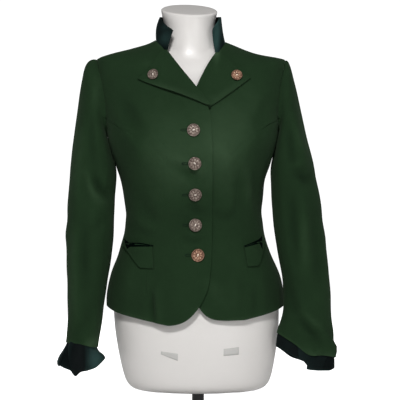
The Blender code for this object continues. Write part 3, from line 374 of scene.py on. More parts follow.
# %% Fold a mesh
BODY_AXIS = ((0.1, 0.000, 0.000), (0.9, -0.0164, 0.000))
RIGHT_ARM_AXIS = ((0.19, -0.227, -0.046), (0.35, -0.217, -0.036), (0.465, -0.213, -0.02),
                  (0.57, -0.209, -0.006), (0.69, -0.203, 0.001), (0.79, -0.196, 0.004))
LEFT_ARM_AXIS = ((0.19, 0.214, -0.062), (0.35, 0.216, -0.046), (0.465, 0.199, -0.022),
                 (0.57, 0.187, -0.006), (0.69, 0.177, 0.001), (0.79, 0.168, 0.004))
FOLD_STRENGTH = 1.7
FOLD_TURN = 0.5
FOLD_END = 0.06
FOLD_TAPER = 0.8
LAP_EDGE = 0.0006
FLANK_WIDTH = 2.1
FLANK_DEPTH = 0.32
WAVE_LENGTHS = (0.16, 0.12, 0.09, 0.07, 0.05, 0.04)
WAVE_HEIGHT = 0.00045
WAVE_HEIGHT_LENGTH = 0.1
WAVE_SEED = 7
SEAM_NEAR = 0.0016
SEAM_HOLDS = 0.014


def outward(points, axis):
    """The level direction from an axis, given by height, x and y, to each point."""
    heights, across, deep = np.transpose(axis)
    way = np.column_stack((points[:, 0] - np.interp(points[:, 2], heights, across),
                           points[:, 1] - np.interp(points[:, 2], heights, deep), np.zeros(len(points))))
    return way / np.maximum(np.linalg.norm(way, axis=1, keepdims=True), 1e-6)


def turned_to(way, facing):
    """How squarely each direction looks to a side: 1 for wholly, 0 for not at all."""
    return np.clip(way[:, 0] * facing[0] + way[:, 1] * facing[1], 0, 1)


def distance_along(spots, path):
    """How far each spot is from a path, and its share of the way along it."""
    path = np.asarray(path)
    starts, steps = path[:-1], np.diff(path, axis=0)
    lengths = np.linalg.norm(steps, axis=1)
    before = np.concatenate(([0.0], np.cumsum(lengths)[:-1]))
    gaps = spots[:, None] - starts[None]
    part = np.clip((gaps * steps).sum(-1) / lengths ** 2, 0, 1)
    far = np.linalg.norm(gaps - part[..., None] * steps, axis=-1)
    nearest = far.argmin(axis=1)
    rows = np.arange(len(spots))
    share = (before[nearest] + part[rows, nearest] * lengths[nearest]) / lengths.sum()
    return far[rows, nearest], share


def fold_rise(points, way, folds):
    """How far the folds lift each point."""
    rise = np.zeros(len(points))
    for facing, path, width, height in folds:
        turned = turned_to(way, facing) ** FOLD_TURN
        across = points[:, 0] if facing[0] == 0 else points[:, 1]
        far, share = distance_along(np.column_stack((across, points[:, 2])), path)
        taper = np.sin(np.pi * (FOLD_END + (1 - 2 * FOLD_END) * share)) ** FOLD_TAPER
        ridge = np.exp(-(far / width) ** 2) - FLANK_DEPTH * np.exp(-(far / (FLANK_WIDTH * width)) ** 2)
        rise += height / (1 - FLANK_DEPTH) * ridge * taper * turned
    return rise * FOLD_STRENGTH


def lap_rise(points, way, laps):
    """How far the laps lift each point: a sharp step at the path, then a slope."""
    rise = np.zeros(len(points))
    for facing, path, width, height in laps:
        across, heights = np.transpose(path)
        beside = points[:, 0] - np.interp(points[:, 2], heights, across)
        lift = np.exp(-np.maximum(beside, 0) / width) / (1 + np.exp(-beside / LAP_EDGE))
        rise += height * lift * turned_to(way, facing)
    return rise


def painted_shading_of(points, way):
    """How much light or shade is painted into each point's colour."""
    painted_shading = np.full(len(points), PAINTED_SHADING_BASE)
    for facing, across, height, wide, tall, amount in PAINTED_SHADING_PLACES:
        off = ((points[:, 0] - across) / wide) ** 2 + ((points[:, 2] - height) / tall) ** 2
        painted_shading += amount * np.exp(-off) * turned_to(way, facing)
    return painted_shading


def pulled(points, way, pulls):
    """Small moves across and up, each strongest at its place."""
    move = np.zeros((len(points), 3))
    for across, height, wide, tall, right, up, *facing in pulls:
        share = np.exp(-((points[:, 0] - across) / wide) ** 2 - ((points[:, 2] - height) / tall) ** 2)
        if facing:
            share *= turned_to(way, *facing)
        move[:, 0] += right * share
        move[:, 2] += up * share
    return move


def slow_waves(points):
    """A few slow waves through space, the same for neighbouring pieces."""
    rng = np.random.default_rng(WAVE_SEED)
    total = np.zeros(len(points))
    for length in WAVE_LENGTHS:
        way = rng.normal(size=3)
        way *= 2 * math.pi / length / np.linalg.norm(way)
        total += length / WAVE_HEIGHT_LENGTH * np.sin(points @ way + rng.uniform(0, 2 * math.pi))
    return total * WAVE_HEIGHT


def node_points(*nodes):
    """The corners of CAD nodes."""
    return np.array([vert.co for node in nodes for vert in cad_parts[node].data.vertices])


def search_tree(points):
    """A tree that finds the nearest of some points."""
    tree = KDTree(len(points))
    for number, point in enumerate(points):
        tree.insert(point, number)
    tree.balance()
    return tree


def both(*names):
    """The right and the left node of each name."""
    return [name + side for name in names for side in ("_right", "_left")]


def armhole_tree():
    """A search tree over the armhole seams, where the corners of a sleeve and of the body nearly touch."""
    body = search_tree(node_points(*both("front", "side", "back")))
    sleeves = node_points(*both("top_sleeve", "under_sleeve"))
    return search_tree([point for point in sleeves if body.find(point)[2] < SEAM_NEAR])


ARMHOLES = armhole_tree()


def loose_share(points):
    """How freely each point may move: nothing at an armhole seam, wholly some way from it."""
    far = np.array([ARMHOLES.find(point)[2] for point in points])
    share = np.clip(far / SEAM_HOLDS, 0, 1)
    return share * share * (3 - 2 * share)


def fold_mesh(mesh, axis, folds, pulls, laps=()):
    """Presses the folds and the pulls into a mesh, and paints light and shade into its colour: ridges
    lighter, troughs darker.
    """
    points = np.empty(len(mesh.vertices) * 3)
    mesh.vertices.foreach_get("co", points)
    points = points.reshape(-1, 3)
    way = outward(points, axis)
    rise = fold_rise(points, way, folds) + lap_rise(points, way, laps)
    hem = np.empty(len(points))
    mesh.attributes["hem"].data.foreach_get("value", hem)
    # Painted shading: the places of painted light and shade, fold ridges lighter and troughs darker, and
    # lighter lower cut edges.
    painted_shading = painted_shading_of(points, way) + rise * PAINTED_SHADING_PER_METRE_OF_RISE + HEM_LIGHTER * hem ** HEM_SHARPNESS
    mesh.attributes.new("painted_shading", "FLOAT", "POINT").data.foreach_set("value", painted_shading)
    moved = pulled(points, way, pulls) + way * (rise + slow_waves(points))[:, None]
    points += moved * loose_share(points)[:, None] + pulled(points, way, SHOULDER_PULLS)
    mesh.vertices.foreach_set("co", points.ravel())
    mesh.update()


# %% [markdown]
# ## Shared shader groups
# Wool and velvet differ in colour and pile, but both have fine hairs and a tone that wanders. Each effect
# is one node group with named sockets, placed in every material that needs it. Lengths are metres, read
# from Object coordinates, because every piece sits at the origin with its place in its mesh.

# %% Build the shader groups
POSITION = ("Position", "NodeSocketVector", (0, 0, 0))


def new_group(name, inputs, outputs):
    """An empty shader group: inputs as name, socket type and default, outputs as name and socket type."""
    group = bpy.data.node_groups.new(name, "ShaderNodeTree")
    for label, kind, default in inputs:
        socket = group.interface.new_socket(name=label, in_out="INPUT", socket_type=kind)
        socket.default_value = default
    for label, kind in outputs:
        group.interface.new_socket(name=label, in_out="OUTPUT", socket_type=kind)
    return group, group.nodes.new("NodeGroupInput"), group.nodes.new("NodeGroupOutput")


def feed(tree, slot, value):
    """Gives an input slot a link or a value of its own."""
    if isinstance(value, bpy.types.NodeSocket):
        tree.links.new(value, slot)
    else:
        slot.default_value = value


def set_inputs(tree, node, **values):
    """Feeds a node's inputs, with an underscore for each space in a name."""
    for label, value in values.items():
        feed(tree, node.inputs[label.replace("_", " ")], value)
    return node


def node_in(tree, kind, **values):
    """A new node with its inputs fed."""
    return set_inputs(tree, tree.nodes.new(kind), **values)


def attribute(tree, name):
    """A mesh attribute's value."""
    made = node_in(tree, "ShaderNodeAttribute")
    made.attribute_name = name
    return made.outputs["Fac"]


def maths(tree, operation, first, second):
    """A Math node, with each input a socket or a number."""
    made = tree.nodes.new("ShaderNodeMath")
    made.operation = operation
    for slot, value in zip(made.inputs, (first, second), strict=False):
        feed(tree, slot, value)
    return made.outputs[0]


def scaled(tree, value, factor, plus):
    """A value times a factor, plus another."""
    return maths(tree, "ADD", maths(tree, "MULTIPLY", value, factor), plus)


def noise(tree, where, scale, detail, roughness, stretch=(1.0, 1.0, 1.0)):
    """A noise texture over a stretched position."""
    place = node_in(tree, "ShaderNodeMapping", Vector=where, Scale=stretch).outputs[0]
    made = node_in(tree, "ShaderNodeTexNoise", Vector=place, Scale=scale, Detail=detail, Roughness=roughness)
    return made.outputs["Fac"]


def build_hair_group():
    """Fine hairs lying in three directions: their height, and where they catch the light."""
    group, given, result = new_group(
        "fine hairs", (POSITION, ("Hairs per metre", "NodeSocketFloat", 900.0)),
        (("Height", "NodeSocketFloat"), ("Light", "NodeSocketFloat")))
    scale = given.outputs["Hairs per metre"]
    where = given.outputs["Position"]
    strands = [noise(group, where, scale, 2.0, 0.6, stretch)
               for stretch in ((0.22, 1.0, 1.3), (1.2, 0.25, 1.0), (1.0, 1.3, 0.22))]
    tallest = maths(group, "MAXIMUM", maths(group, "MAXIMUM", strands[0], strands[1]), strands[2])
    grain = noise(group, where, maths(group, "MULTIPLY", scale, 2.3), 3.0, 0.7)
    height = scaled(group, tallest, 0.7, maths(group, "MULTIPLY", grain, 0.3))
    light = maths(group, "MULTIPLY", maths(group, "SUBTRACT", height, 0.42), 3.2)
    set_inputs(group, result, Height=height, Light=light)
    return group


def build_tone_group():
    """A tone that wanders over a piece, at two sizes."""
    group, given, result = new_group(
        "wandering tone", (POSITION, ("Patches per metre", "NodeSocketFloat", 9.0)),
        (("Tone", "NodeSocketFloat"),))
    scale = given.outputs["Patches per metre"]
    broad = noise(group, given.outputs["Position"], scale, 2.0, 0.5)
    small = noise(group, given.outputs["Position"], maths(group, "MULTIPLY", scale, 6.5), 3.0, 0.6)
    tone = scaled(group, broad, 0.65, maths(group, "MULTIPLY", small, 0.35))
    set_inputs(group, result, Tone=tone)
    return group


def build_weave_group():
    """A two-and-two twill under the nap: ribs that climb to the right, over fine threads."""
    group, given, result = new_group(
        "twill", (POSITION, ("Ribs per metre", "NodeSocketFloat", 700.0)),
        (("Height", "NodeSocketFloat"),))
    scale = maths(group, "DIVIDE", given.outputs["Ribs per metre"], 3.1)
    wave = node_in(group, "ShaderNodeTexWave", Vector=given.outputs["Position"], Scale=scale, Distortion=1.4,
                   Detail=2.0, Detail_Scale=2.0)
    wave.wave_type = "BANDS"
    wave.bands_direction = "DIAGONAL"
    set_inputs(group, result, Height=wave.outputs["Fac"])
    return group


HAIR_GROUP, TONE_GROUP, WEAVE_GROUP = build_hair_group(), build_tone_group(), build_weave_group()
print("groups:", HAIR_GROUP.name, TONE_GROUP.name, WEAVE_GROUP.name)

# %% [markdown]
# ## The materials
# Milled wool is matt: it is woven, then felted until the weave nearly goes, and its short nap lightens the
# edges that turn away. Light and shade are painted into the wool's colour from a mesh attribute. Velvet is
# darker still when seen square on; its blue-green shine where the pile leans is partly its own sheen and
# partly painted sheen. The buttons are cast in old silver, bright on the raised parts and brown in the
# hollows, and two of them are worn through to their copper. The form is glossy white plastic.

# %% Make the materials


def new_material(name):
    """A new material, its node tree, its shader and its position output."""
    made = bpy.data.materials.new(name)
    made.use_nodes = True
    tree = made.node_tree
    shader = tree.nodes["Principled BSDF"]
    where = tree.nodes.new("ShaderNodeTexCoord").outputs["Object"]
    return made, tree, shader, where


def placed(tree, group, where, **values):
    """A group node, fed with the position."""
    made = tree.nodes.new("ShaderNodeGroup")
    made.node_tree = group
    return set_inputs(tree, made, Position=where, **values)


def ramp(tree, factor, *stops):
    """A colour ramp: stops as position and colour."""
    made = tree.nodes.new("ShaderNodeValToRGB")
    while len(made.color_ramp.elements) < len(stops):
        made.color_ramp.elements.new(0.5)
    for element, (position, colour) in zip(made.color_ramp.elements, stops, strict=True):
        element.position = position
        element.color = (*colour, 1.0)
    return set_inputs(tree, made, Fac=factor).outputs["Color"]


def mixed(tree, factor, first, second, blend="MIX"):
    """A colour mix, with each input a socket, a colour or a number."""
    made = tree.nodes.new("ShaderNodeMix")
    made.data_type = "RGBA"
    made.blend_type = blend
    for slot, value in ((0, factor), (6, first), (7, second)):
        feed(tree, made.inputs[slot], (*value, 1.0) if isinstance(value, tuple) else value)
    return made.outputs[2]


def bumped(tree, shader, height, distance, strength):
    """Feeds a height to the shader's normal."""
    bump = node_in(tree, "ShaderNodeBump", Height=height, Distance=distance, Strength=strength)
    set_inputs(tree, shader, Normal=bump.outputs[0])


def wool_material(name, deep, middle, light, sheen=0.06):
    """Milled wool: a felted nap over a faint twill, with light and shade painted into its colour from a mesh
    attribute.
    """
    made, tree, shader, where = new_material(name)
    hairs = placed(tree, HAIR_GROUP, where, Hairs_per_metre=1100.0)
    tone = placed(tree, TONE_GROUP, where, Patches_per_metre=11.0)
    weave = placed(tree, WEAVE_GROUP, where, Ribs_per_metre=650.0)
    # The random tone plus the painted light and shade picks the wool's colour.
    tone_and_painted_shading = scaled(tree, tone.outputs["Tone"], 0.5, attribute(tree, "painted_shading"))
    cloth = ramp(tree, tone_and_painted_shading, (0.0, deep), (0.45, middle), (1.0, light))
    napped = mixed(tree, hairs.outputs["Light"], cloth, mixed(tree, 0.12, cloth, light, "ADD"))
    height = scaled(tree, weave.outputs["Height"], 0.25, hairs.outputs["Height"])
    bumped(tree, shader, height, 0.0005, 0.55)
    set_inputs(tree, shader, Base_Color=napped, Roughness=0.92, Specular_IOR_Level=sheen * 1.6,
               Sheen_Weight=sheen, Sheen_Roughness=0.55, Sheen_Tint=(0.4, 0.6, 0.38, 1.0))
    return made


def velvet_material(name, deep, light):
    """Velvet: a deep ground, a pile that lies in patches, and sheen painted into its colour from a mesh
    attribute.
    """
    made, tree, shader, where = new_material(name)
    hairs = placed(tree, HAIR_GROUP, where, Hairs_per_metre=1700.0)
    tone = placed(tree, TONE_GROUP, where, Patches_per_metre=16.0)
    pile_tone_and_painted_sheen = scaled(tree, tone.outputs["Tone"], 0.35, attribute(tree, "painted_shading"))
    # The palest colour is painted sheen: only the places of painted sheen reach it.
    pale = tuple(2.2 * value for value in light)
    ground = ramp(tree, maths(tree, "MULTIPLY", pile_tone_and_painted_sheen, 0.5), (0.15, deep), (0.5, light), (1.0, pale))
    height = scaled(tree, tone.outputs["Tone"], 0.6, hairs.outputs["Height"])
    bumped(tree, shader, height, 0.0006, 0.5)
    rough = scaled(tree, tone.outputs["Tone"], 0.35, 0.58)
    set_inputs(tree, shader, Base_Color=ground, Roughness=rough, Specular_IOR_Level=0.1, Sheen_Weight=0.1,
               Sheen_Roughness=0.3, Sheen_Tint=(0.2, 0.42, 0.4, 1.0))
    return made


def silver_material(name, hollow, middle, bright):
    """Old silver: dark in the hollows, and bright and smoother where the relief attribute is high."""
    made, tree, shader, where = new_material(name)
    tone = placed(tree, TONE_GROUP, where, Patches_per_metre=330.0)
    raised = maths(tree, "MULTIPLY", attribute(tree, "relief"), 0.62)
    mottled = maths(tree, "MULTIPLY", maths(tree, "SUBTRACT", tone.outputs["Tone"], 0.38), 1.5)
    worn = maths(tree, "ADD", raised, mottled)
    metal = ramp(tree, worn, (0.15, hollow), (0.5, middle), (0.95, bright))
    rough = maths(tree, "SUBTRACT", 0.66, maths(tree, "MULTIPLY", worn, 0.22))
    set_inputs(tree, shader, Base_Color=metal, Roughness=rough, Metallic=0.5)
    bumped(tree, shader, tone.outputs["Tone"], 0.0002, 0.3)
    return made


def plastic_material(name, light, dark, roughness, coat):
    """Moulded plastic or lacquer: nearly even, with faint handling marks in its gloss."""
    made, tree, shader, where = new_material(name)
    tone = placed(tree, TONE_GROUP, where, Patches_per_metre=14.0)
    colour = ramp(tree, tone.outputs["Tone"], (0.3, dark), (0.7, light))
    rough = scaled(tree, tone.outputs["Tone"], 0.12, roughness)
    set_inputs(tree, shader, Base_Color=colour, Roughness=rough, Coat_Weight=coat, Coat_Roughness=0.12,
               Specular_IOR_Level=0.36)
    bumped(tree, shader, tone.outputs["Tone"], 0.0006, 0.12)
    return made


WOOL = wool_material("milled green wool", (0.005, 0.015, 0.0055), (0.0115, 0.03, 0.0115),
                     (0.03, 0.06, 0.029))
# Painted shadow: a near-black wool with almost no gloss, laid in the pocket mouths where there is only shade.
PAINTED_SHADOW_WOOL = wool_material("painted shadow in a pocket mouth", (0.0004, 0.0018, 0.0016), (0.0006, 0.0026, 0.0022),
                            (0.001, 0.0036, 0.003), sheen=0.005)
VELVET = velvet_material("dark velvet", (0.0014, 0.0036, 0.0038), (0.016, 0.038, 0.035))
THREAD = velvet_material("silk twist", (0.006, 0.017, 0.009), (0.012, 0.03, 0.016))
SILVER = silver_material("old silver", (0.085, 0.058, 0.048), (0.26, 0.205, 0.17), (0.64, 0.57, 0.5))
COPPERED = silver_material("silver worn to its copper", (0.11, 0.05, 0.03), (0.36, 0.2, 0.125),
                           (0.78, 0.64, 0.5))
WHITE = plastic_material("white form plastic", (0.8, 0.775, 0.75), (0.78, 0.755, 0.73), 0.3, 0.06)
OUTLINE = plastic_material("plug in the form", (0.6, 0.59, 0.57), (0.54, 0.53, 0.51), 0.3, 0.2)
DARK = plastic_material("satin black lacquer", (0.03, 0.03, 0.031), (0.022, 0.022, 0.023), 0.38, 0.15)
print("materials:", len(bpy.data.materials))

# %% [markdown]
# ## The cloth pieces
# One table holds every piece that a maker would cut: its solid, the body or arm whose folds it takes, its
# material, and its flat cut as width, length and area. Each piece is a thin shell on its solid's form. A
# narrow bevel turns its cut edges, so that a seam shows as a fine valley and a hem as a rounded edge.

# %% Sew the cloth pieces
EDGE_TURN = 0.0009
EDGE_SEGMENTS = 2
EDGE_ANGLE = math.radians(58)
BODY = (BODY_AXIS, BODY_FOLDS, BODY_PULLS)
RIGHT_ARM = (RIGHT_ARM_AXIS, RIGHT_SLEEVE_FOLDS, RIGHT_ARM_PULLS)
LEFT_ARM = (LEFT_ARM_AXIS, LEFT_SLEEVE_FOLDS, LEFT_ARM_PULLS)
LAPELS = (BODY_AXIS, LAPEL_FOLDS, BODY_PULLS)
NECK = (BODY_AXIS, (), COLLAR_PULLS)
RIGHT_CUFF = (RIGHT_ARM_AXIS, (), RIGHT_ARM_PULLS, RIGHT_CUFF_LAPS)
LEFT_CUFF = (LEFT_ARM_AXIS, (), LEFT_ARM_PULLS, LEFT_CUFF_LAPS)
CLOTH = (
    # node, folds, slot, levels, width, length, area, held
    ("front_right", BODY, "wool", 3, 0.245, 0.59, 0.087, "draped"),
    ("front_left", BODY, "wool", 3, 0.235, 0.58, 0.08, "draped"),
    ("side_right", BODY, "wool", 2, 0.235, 0.4, 0.0825, "draped"),
    ("side_left", BODY, "wool", 2, 0.235, 0.4, 0.0825, "draped"),
    ("back_right", BODY, "wool", 3, 0.215, 0.57, 0.088, "draped"),
    ("back_left", BODY, "wool", 3, 0.215, 0.57, 0.088, "draped"),
    ("top_sleeve_right", RIGHT_ARM, "wool", 2, 0.24, 0.6, 0.114, "hung"),
    ("top_sleeve_left", LEFT_ARM, "wool", 2, 0.235, 0.61, 0.11, "hung"),
    ("under_sleeve_right", RIGHT_ARM, "wool", 2, 0.115, 0.465, 0.04, "hung"),
    ("under_sleeve_left", LEFT_ARM, "wool", 2, 0.115, 0.46, 0.04, "hung"),
    ("lapel_right", LAPELS, "wool", 3, 0.16, 0.1, 0.008, "folded"),
    ("lapel_left", LAPELS, "wool", 3, 0.16, 0.11, 0.0094, "folded"),
    ("pocket_right", BODY, "wool", 3, 0.064, 0.05, 0.0027, "laid"),
    ("pocket_left", BODY, "wool", 3, 0.045, 0.052, 0.0021, "laid"),
    ("collar", NECK, "velvet", 3, 0.34, 0.078, 0.0177, "stretched"),
    ("cuff_right", RIGHT_CUFF, "velvet", 3, 0.31, 0.06, 0.0151, "hung"),
    ("cuff_left", LEFT_CUFF, "velvet", 3, 0.28, 0.056, 0.0111, "hung"),
)
FINISHES = {"wool": WOOL, "velvet": VELVET}


def finish_piece(name, mesh, material):
    """Links a finished mesh as a piece of the jacket, with its material."""
    mesh.materials.clear()
    mesh.materials.append(material)
    mesh.shade_smooth()
    piece = linked(name, mesh)
    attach(piece, "root")
    return piece


def turn_edges(piece, width):
    """Rounds a piece's cut edges."""
    bevel = piece.modifiers.new("turned edge", "BEVEL")
    bevel.limit_method = "ANGLE"
    bevel.angle_limit = EDGE_ANGLE
    bevel.width = width
    bevel.segments = EDGE_SEGMENTS


cloth = {}
for node, folds, slot, levels, width, length, area, held in CLOTH:
    bm = quads_of(node)
    let_out_edges(bm, LET_OUT)
    mesh = rounded(bm, "cloth_" + node, levels)
    fold_mesh(mesh, *folds)
    piece = finish_piece("cloth_" + node, mesh, FINISHES[slot])
    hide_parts(node)
    turn_edges(piece, EDGE_TURN)
    cloth[node] = piece
print("cloth pieces:", len(cloth), "faces:", sum(len(piece.data.polygons) for piece in cloth.values()))

# %% [markdown]
# ## The dress form
# The form is one moulded white shell: hips, bust, neck and a tilted cap. Its solid has thirty-six sides,
# which would show on so glossy a surface, so a copy of it is rounded once more. The cap's edge is moulded
# with a small radius, which catches the light, and the neck runs into the chest without a line. Its hidden
# shoulders give way by a few millimetres, where the jacket's shoulder sinks.

# %% Round the form
CAP_FACES_UP = 0.8
CAP_LOW = 0.85
CAP_ROUNDING = 0.0028
NECK_LOW = 0.715
NECK_HIGH = 0.835
NECK_MIDDLE = Vector((-0.017, 0.0))
NECK_PASSES = 14
FORM_PULLS = (
    (0.105, 0.79, 0.045, 0.035, 0.0, -0.012),
    (-0.115, 0.79, 0.04, 0.03, 0.0, -0.003),
    (-0.064, 0.86, 0.03, 0.026, -0.0056, 0.0),
    (0.048, 0.856, 0.026, 0.02, 0.0012, 0.0),
)


def even_profile(bm):
    """Moves each point of the neck's front halfway to the middle of the points right above and below it."""
    moves = {}
    for vert in bm.verts:
        if NECK_LOW < vert.co.z < NECK_HIGH and vert.co.y < NECK_MIDDLE.y:
            beside = sorted((edge.other_vert(vert).co for edge in vert.link_edges), key=lambda spot: spot.z)
            off = vert.co.xy - NECK_MIDDLE
            moves[vert] = ((beside[0] + beside[-1]) / 4 - vert.co / 2) * (-off.y / off.length)
    for vert, move in moves.items():
        vert.co += move


form_bm = quads_of("form")
cap = [face for face in form_bm.faces
       if face.normal.z > CAP_FACES_UP and face.calc_center_median().z > CAP_LOW]
cap_face = bmesh.ops.dissolve_faces(form_bm, faces=cap, use_verts=True)["region"][0]
bmesh.ops.bevel(form_bm, geom=cap_face.edges[:], offset=CAP_ROUNDING, offset_type="OFFSET", segments=3,
                profile=0.5, affect="EDGES", material=-1)
for _ in range(NECK_PASSES):
    even_profile(form_bm)
form_mesh = rounded(form_bm, "form_body", 1)
form_points = np.array([vert.co for vert in form_mesh.vertices])
form_points += pulled(form_points, outward(form_points, BODY_AXIS), FORM_PULLS + SHOULDER_PULLS)
form_mesh.vertices.foreach_set("co", form_points.ravel())
form = finish_piece("form_body", form_mesh, WHITE)
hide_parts("form")
for node in ("post", "base"):
    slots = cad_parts[node].data.materials
    slots.clear()
    slots.append(DARK)
print("form faces:", len(form.data.polygons))

# %% [markdown]
# ## Work that lies on a surface
# Buttonholes, the painted shadows in the pocket mouths and the plugs in the form all lie on something curved.
# Each is drawn as a distance across and a height, and a level ray from the front finds where it lands. It is
# lifted off the surface by a hair.

# %% Find places on a surface
RAY_FROM = -0.5


def tree_of(*pieces):
    """A search tree over pieces as they are shown."""
    graph = bpy.context.evaluated_depsgraph_get()
    joined = bmesh.new()
    for piece in pieces:
        joined.from_object(piece, graph)
    tree = BVHTree.FromBMesh(joined)
    joined.free()
    return tree


def landed(tree, across, height, lift):
    """Where a level ray from the front lands, moved out by the lift."""
    hit, facing = tree.ray_cast(Vector((across, RAY_FROM, height)), Vector((0, 1, 0)))[:2]
    if facing.y > 0:
        facing = -facing
    return hit + facing * lift


print("surfaces to lie on:", len(cloth))

# %% [markdown]
# ## Painted shadows in the pocket mouths
# The pockets gape a little, and a dark wedge of shadow shows above each flap. The shadow is painted: a narrow
# lens of near-black cloth lies along the flap's top edge and turns up at its outer end.

# %% Lay the painted shadows in the pocket mouths
MOUTH_LIFT = 0.0003
MOUTH_THICK = 0.0006
STRIP_STEPS = (20, 4)
PAINTED_MOUTH_SHADOWS = {
    # name: upper line, then lower line, as across and height
    "pocket_mouth_painted_shadow_right": (((-0.1466, 0.42), (-0.1357, 0.4124), (-0.1124, 0.4126), (-0.0866, 0.4084)),
                           ((-0.1385, 0.4004), (-0.1325, 0.405), (-0.111, 0.4056), (-0.086, 0.4058))),
    "pocket_mouth_painted_shadow_left": (((0.0884, 0.4066), (0.1033, 0.4122), (0.1189, 0.4184), (0.1262, 0.425)),
                          ((0.09, 0.404), (0.105, 0.4076), (0.1205, 0.4115), (0.1262, 0.3985))),
}


def strip(name, lower, upper, tree, lift, thick, material):
    """A thin patch between two lines, laid on a surface."""
    bm = bmesh.new()
    bmesh.ops.create_grid(bm, x_segments=STRIP_STEPS[0], y_segments=STRIP_STEPS[1], size=0.5)
    lower, upper = np.asarray(lower), np.asarray(upper)
    along = np.linspace(0, 1, len(lower))
    for vert in bm.verts:
        u, v = vert.co.x + 0.5, vert.co.y + 0.5
        ends = [(np.interp(u, along, line[:, 0]), np.interp(u, along, line[:, 1])) for line in (lower, upper)]
        spot = [ends[0][k] * (1 - v) + ends[1][k] * v for k in (0, 1)]
        vert.co = landed(tree, *spot, lift)
    bmesh.ops.recalc_face_normals(bm, faces=bm.faces[:])
    if sum(face.normal.y for face in bm.faces) > 0:
        bmesh.ops.reverse_faces(bm, faces=bm.faces[:])
    bmesh.ops.solidify(bm, geom=bm.faces[:], thickness=thick)
    return finish_piece(name, mesh_from(bm, name), material)


mouth_tree = tree_of(*(cloth[node] for node in cloth if node.startswith(("front", "side", "pocket"))))
for name, (upper, lower) in PAINTED_MOUTH_SHADOWS.items():
    strip(name, lower, upper, mouth_tree, MOUTH_LIFT, MOUTH_THICK, PAINTED_SHADOW_WOOL)
print("pocket mouths:", len(PAINTED_MOUTH_SHADOWS))

# %% [markdown]
# ## Buttonholes
# The right front laps over the left and carries five worked buttonholes. Each button pulls to the end
# nearest the edge, so the rest of its hole shows beside it: two rows of silk twist round a slit, closed by
# a bar.

# %% Work the buttonholes
HOLE_REACH = 0.0245
HOLE_START = 0.0095
HOLE_HALF = 0.0017
HOLE_BLUNTNESS = 0.35
TWIST_RADIUS = 0.00055
TWIST_OUT = 0.7
STITCHES = 46
STITCH_WANDER = 0.12
FRONT_HOLES = tuple(f"button_{number}" for number in range(1, 6))


def buttonhole(name, button_node, tree):
    """A worked edge round a slit: one line of twist that wanders a little at each stitch."""
    low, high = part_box(button_node)
    middle = (low + high) / 2
    straight = HOLE_REACH - HOLE_START
    points = []
    for count in range(STITCHES):
        turn = 2 * math.pi * count / STITCHES
        reach = math.copysign(abs(math.cos(turn)) ** HOLE_BLUNTNESS, math.cos(turn))
        across = middle.x - HOLE_START - straight / 2 + reach * straight / 2
        height = middle.z + math.sin(turn) * HOLE_HALF * (1 + STITCH_WANDER * (-1) ** count)
        points.append(landed(tree, across, height, TWIST_RADIUS * TWIST_OUT))
    curve = bpy.data.curves.new(name, "CURVE")
    curve.dimensions = "3D"
    curve.bevel_depth = TWIST_RADIUS
    curve.bevel_resolution = 2
    line = curve.splines.new("POLY")
    line.points.add(len(points) - 1)
    for spot, point in zip(line.points, points, strict=True):
        spot.co = (*point, 1.0)
    line.use_cyclic_u = True
    finish_piece(name, shown_mesh(linked(name, curve)), THREAD)


right_tree = tree_of(cloth["front_right"])
for node in FRONT_HOLES:
    buttonhole("buttonhole_" + node[-1], node, right_tree)
print("buttonholes:", len(FRONT_HOLES))

# %% [markdown]
# ## Buttons
# Each button is cast: a roped rim, a ring of plain petals and an oblong boss. A half section is spun into a
# disc, and its top is then raised by a relief worked out from the distance and the turn round its middle.
# The relief is kept as an attribute, so that the metal is dark where it is deep. Two buttons are worn
# through to their copper.

# %% Cast the buttons
BUTTON_SIDES = 72
SECTION = ((0.0, 0.0), (0.2, 0.0), (0.22, 0.0012), (0.88, 0.0014), (0.98, 0.002), (1.0, 0.0027),
           (0.985, 0.0033), (0.95, 0.0036), (0.91, 0.0037), (0.87, 0.0036), (0.83, 0.0033), (0.78, 0.0031),
           (0.72, 0.0031), (0.66, 0.0031), (0.6, 0.0031), (0.54, 0.0031), (0.48, 0.0031), (0.42, 0.0031),
           (0.36, 0.0032), (0.3, 0.0033), (0.24, 0.0034), (0.18, 0.0035), (0.12, 0.0035), (0.06, 0.0035),
           (0.0, 0.0035))
TOP_FROM = 0.0026
PETALS = 9
PETALS_FROM, PETALS_TO = 0.22, 0.82
PETAL_RISE = 0.0004
ROPE_TURNS = 30
ROPE_SLANT = 9
ROPE_MIDDLE, ROPE_WIDTH = 0.92, 0.05
ROPE_RISE = 0.0003
BOSS_LONG, BOSS_WIDE = 0.26, 0.12
BOSS_RISE = 0.0007
PETAL_POINT = 1.6
BOSS_SQUARENESS = 2.5
PETAL_LIGHT, ROPE_LIGHT, BOSS_LIGHT = 0.6, 0.7, 1.5
HOLLOW_RELIEF = 0.25
WORN_THROUGH = ("button_5", "lapel_button_left")


def relief_at(share, turn):
    """The cast relief, as a rise and how bright it is worn: petals, a rope on the rim, an oblong boss."""
    petal = 0.0
    if PETALS_FROM < share < PETALS_TO:
        petal = math.sin(math.pi * (share - PETALS_FROM) / (PETALS_TO - PETALS_FROM))
        petal *= abs(math.cos(turn * PETALS / 2)) ** PETAL_POINT
    rope = 0.5 + 0.5 * math.cos(turn * ROPE_TURNS + share * ROPE_SLANT)
    rope *= math.exp(-((share - ROPE_MIDDLE) / ROPE_WIDTH) ** 2)
    along, beside = share * math.cos(turn) / BOSS_LONG, share * math.sin(turn) / BOSS_WIDE
    boss = max(0.0, 1 - abs(along) ** BOSS_SQUARENESS - abs(beside) ** BOSS_SQUARENESS) ** 0.5
    rise = petal * PETAL_RISE + rope * ROPE_RISE + boss * BOSS_RISE
    return rise, max(PETAL_LIGHT * petal, ROPE_LIGHT * rope, BOSS_LIGHT * boss)


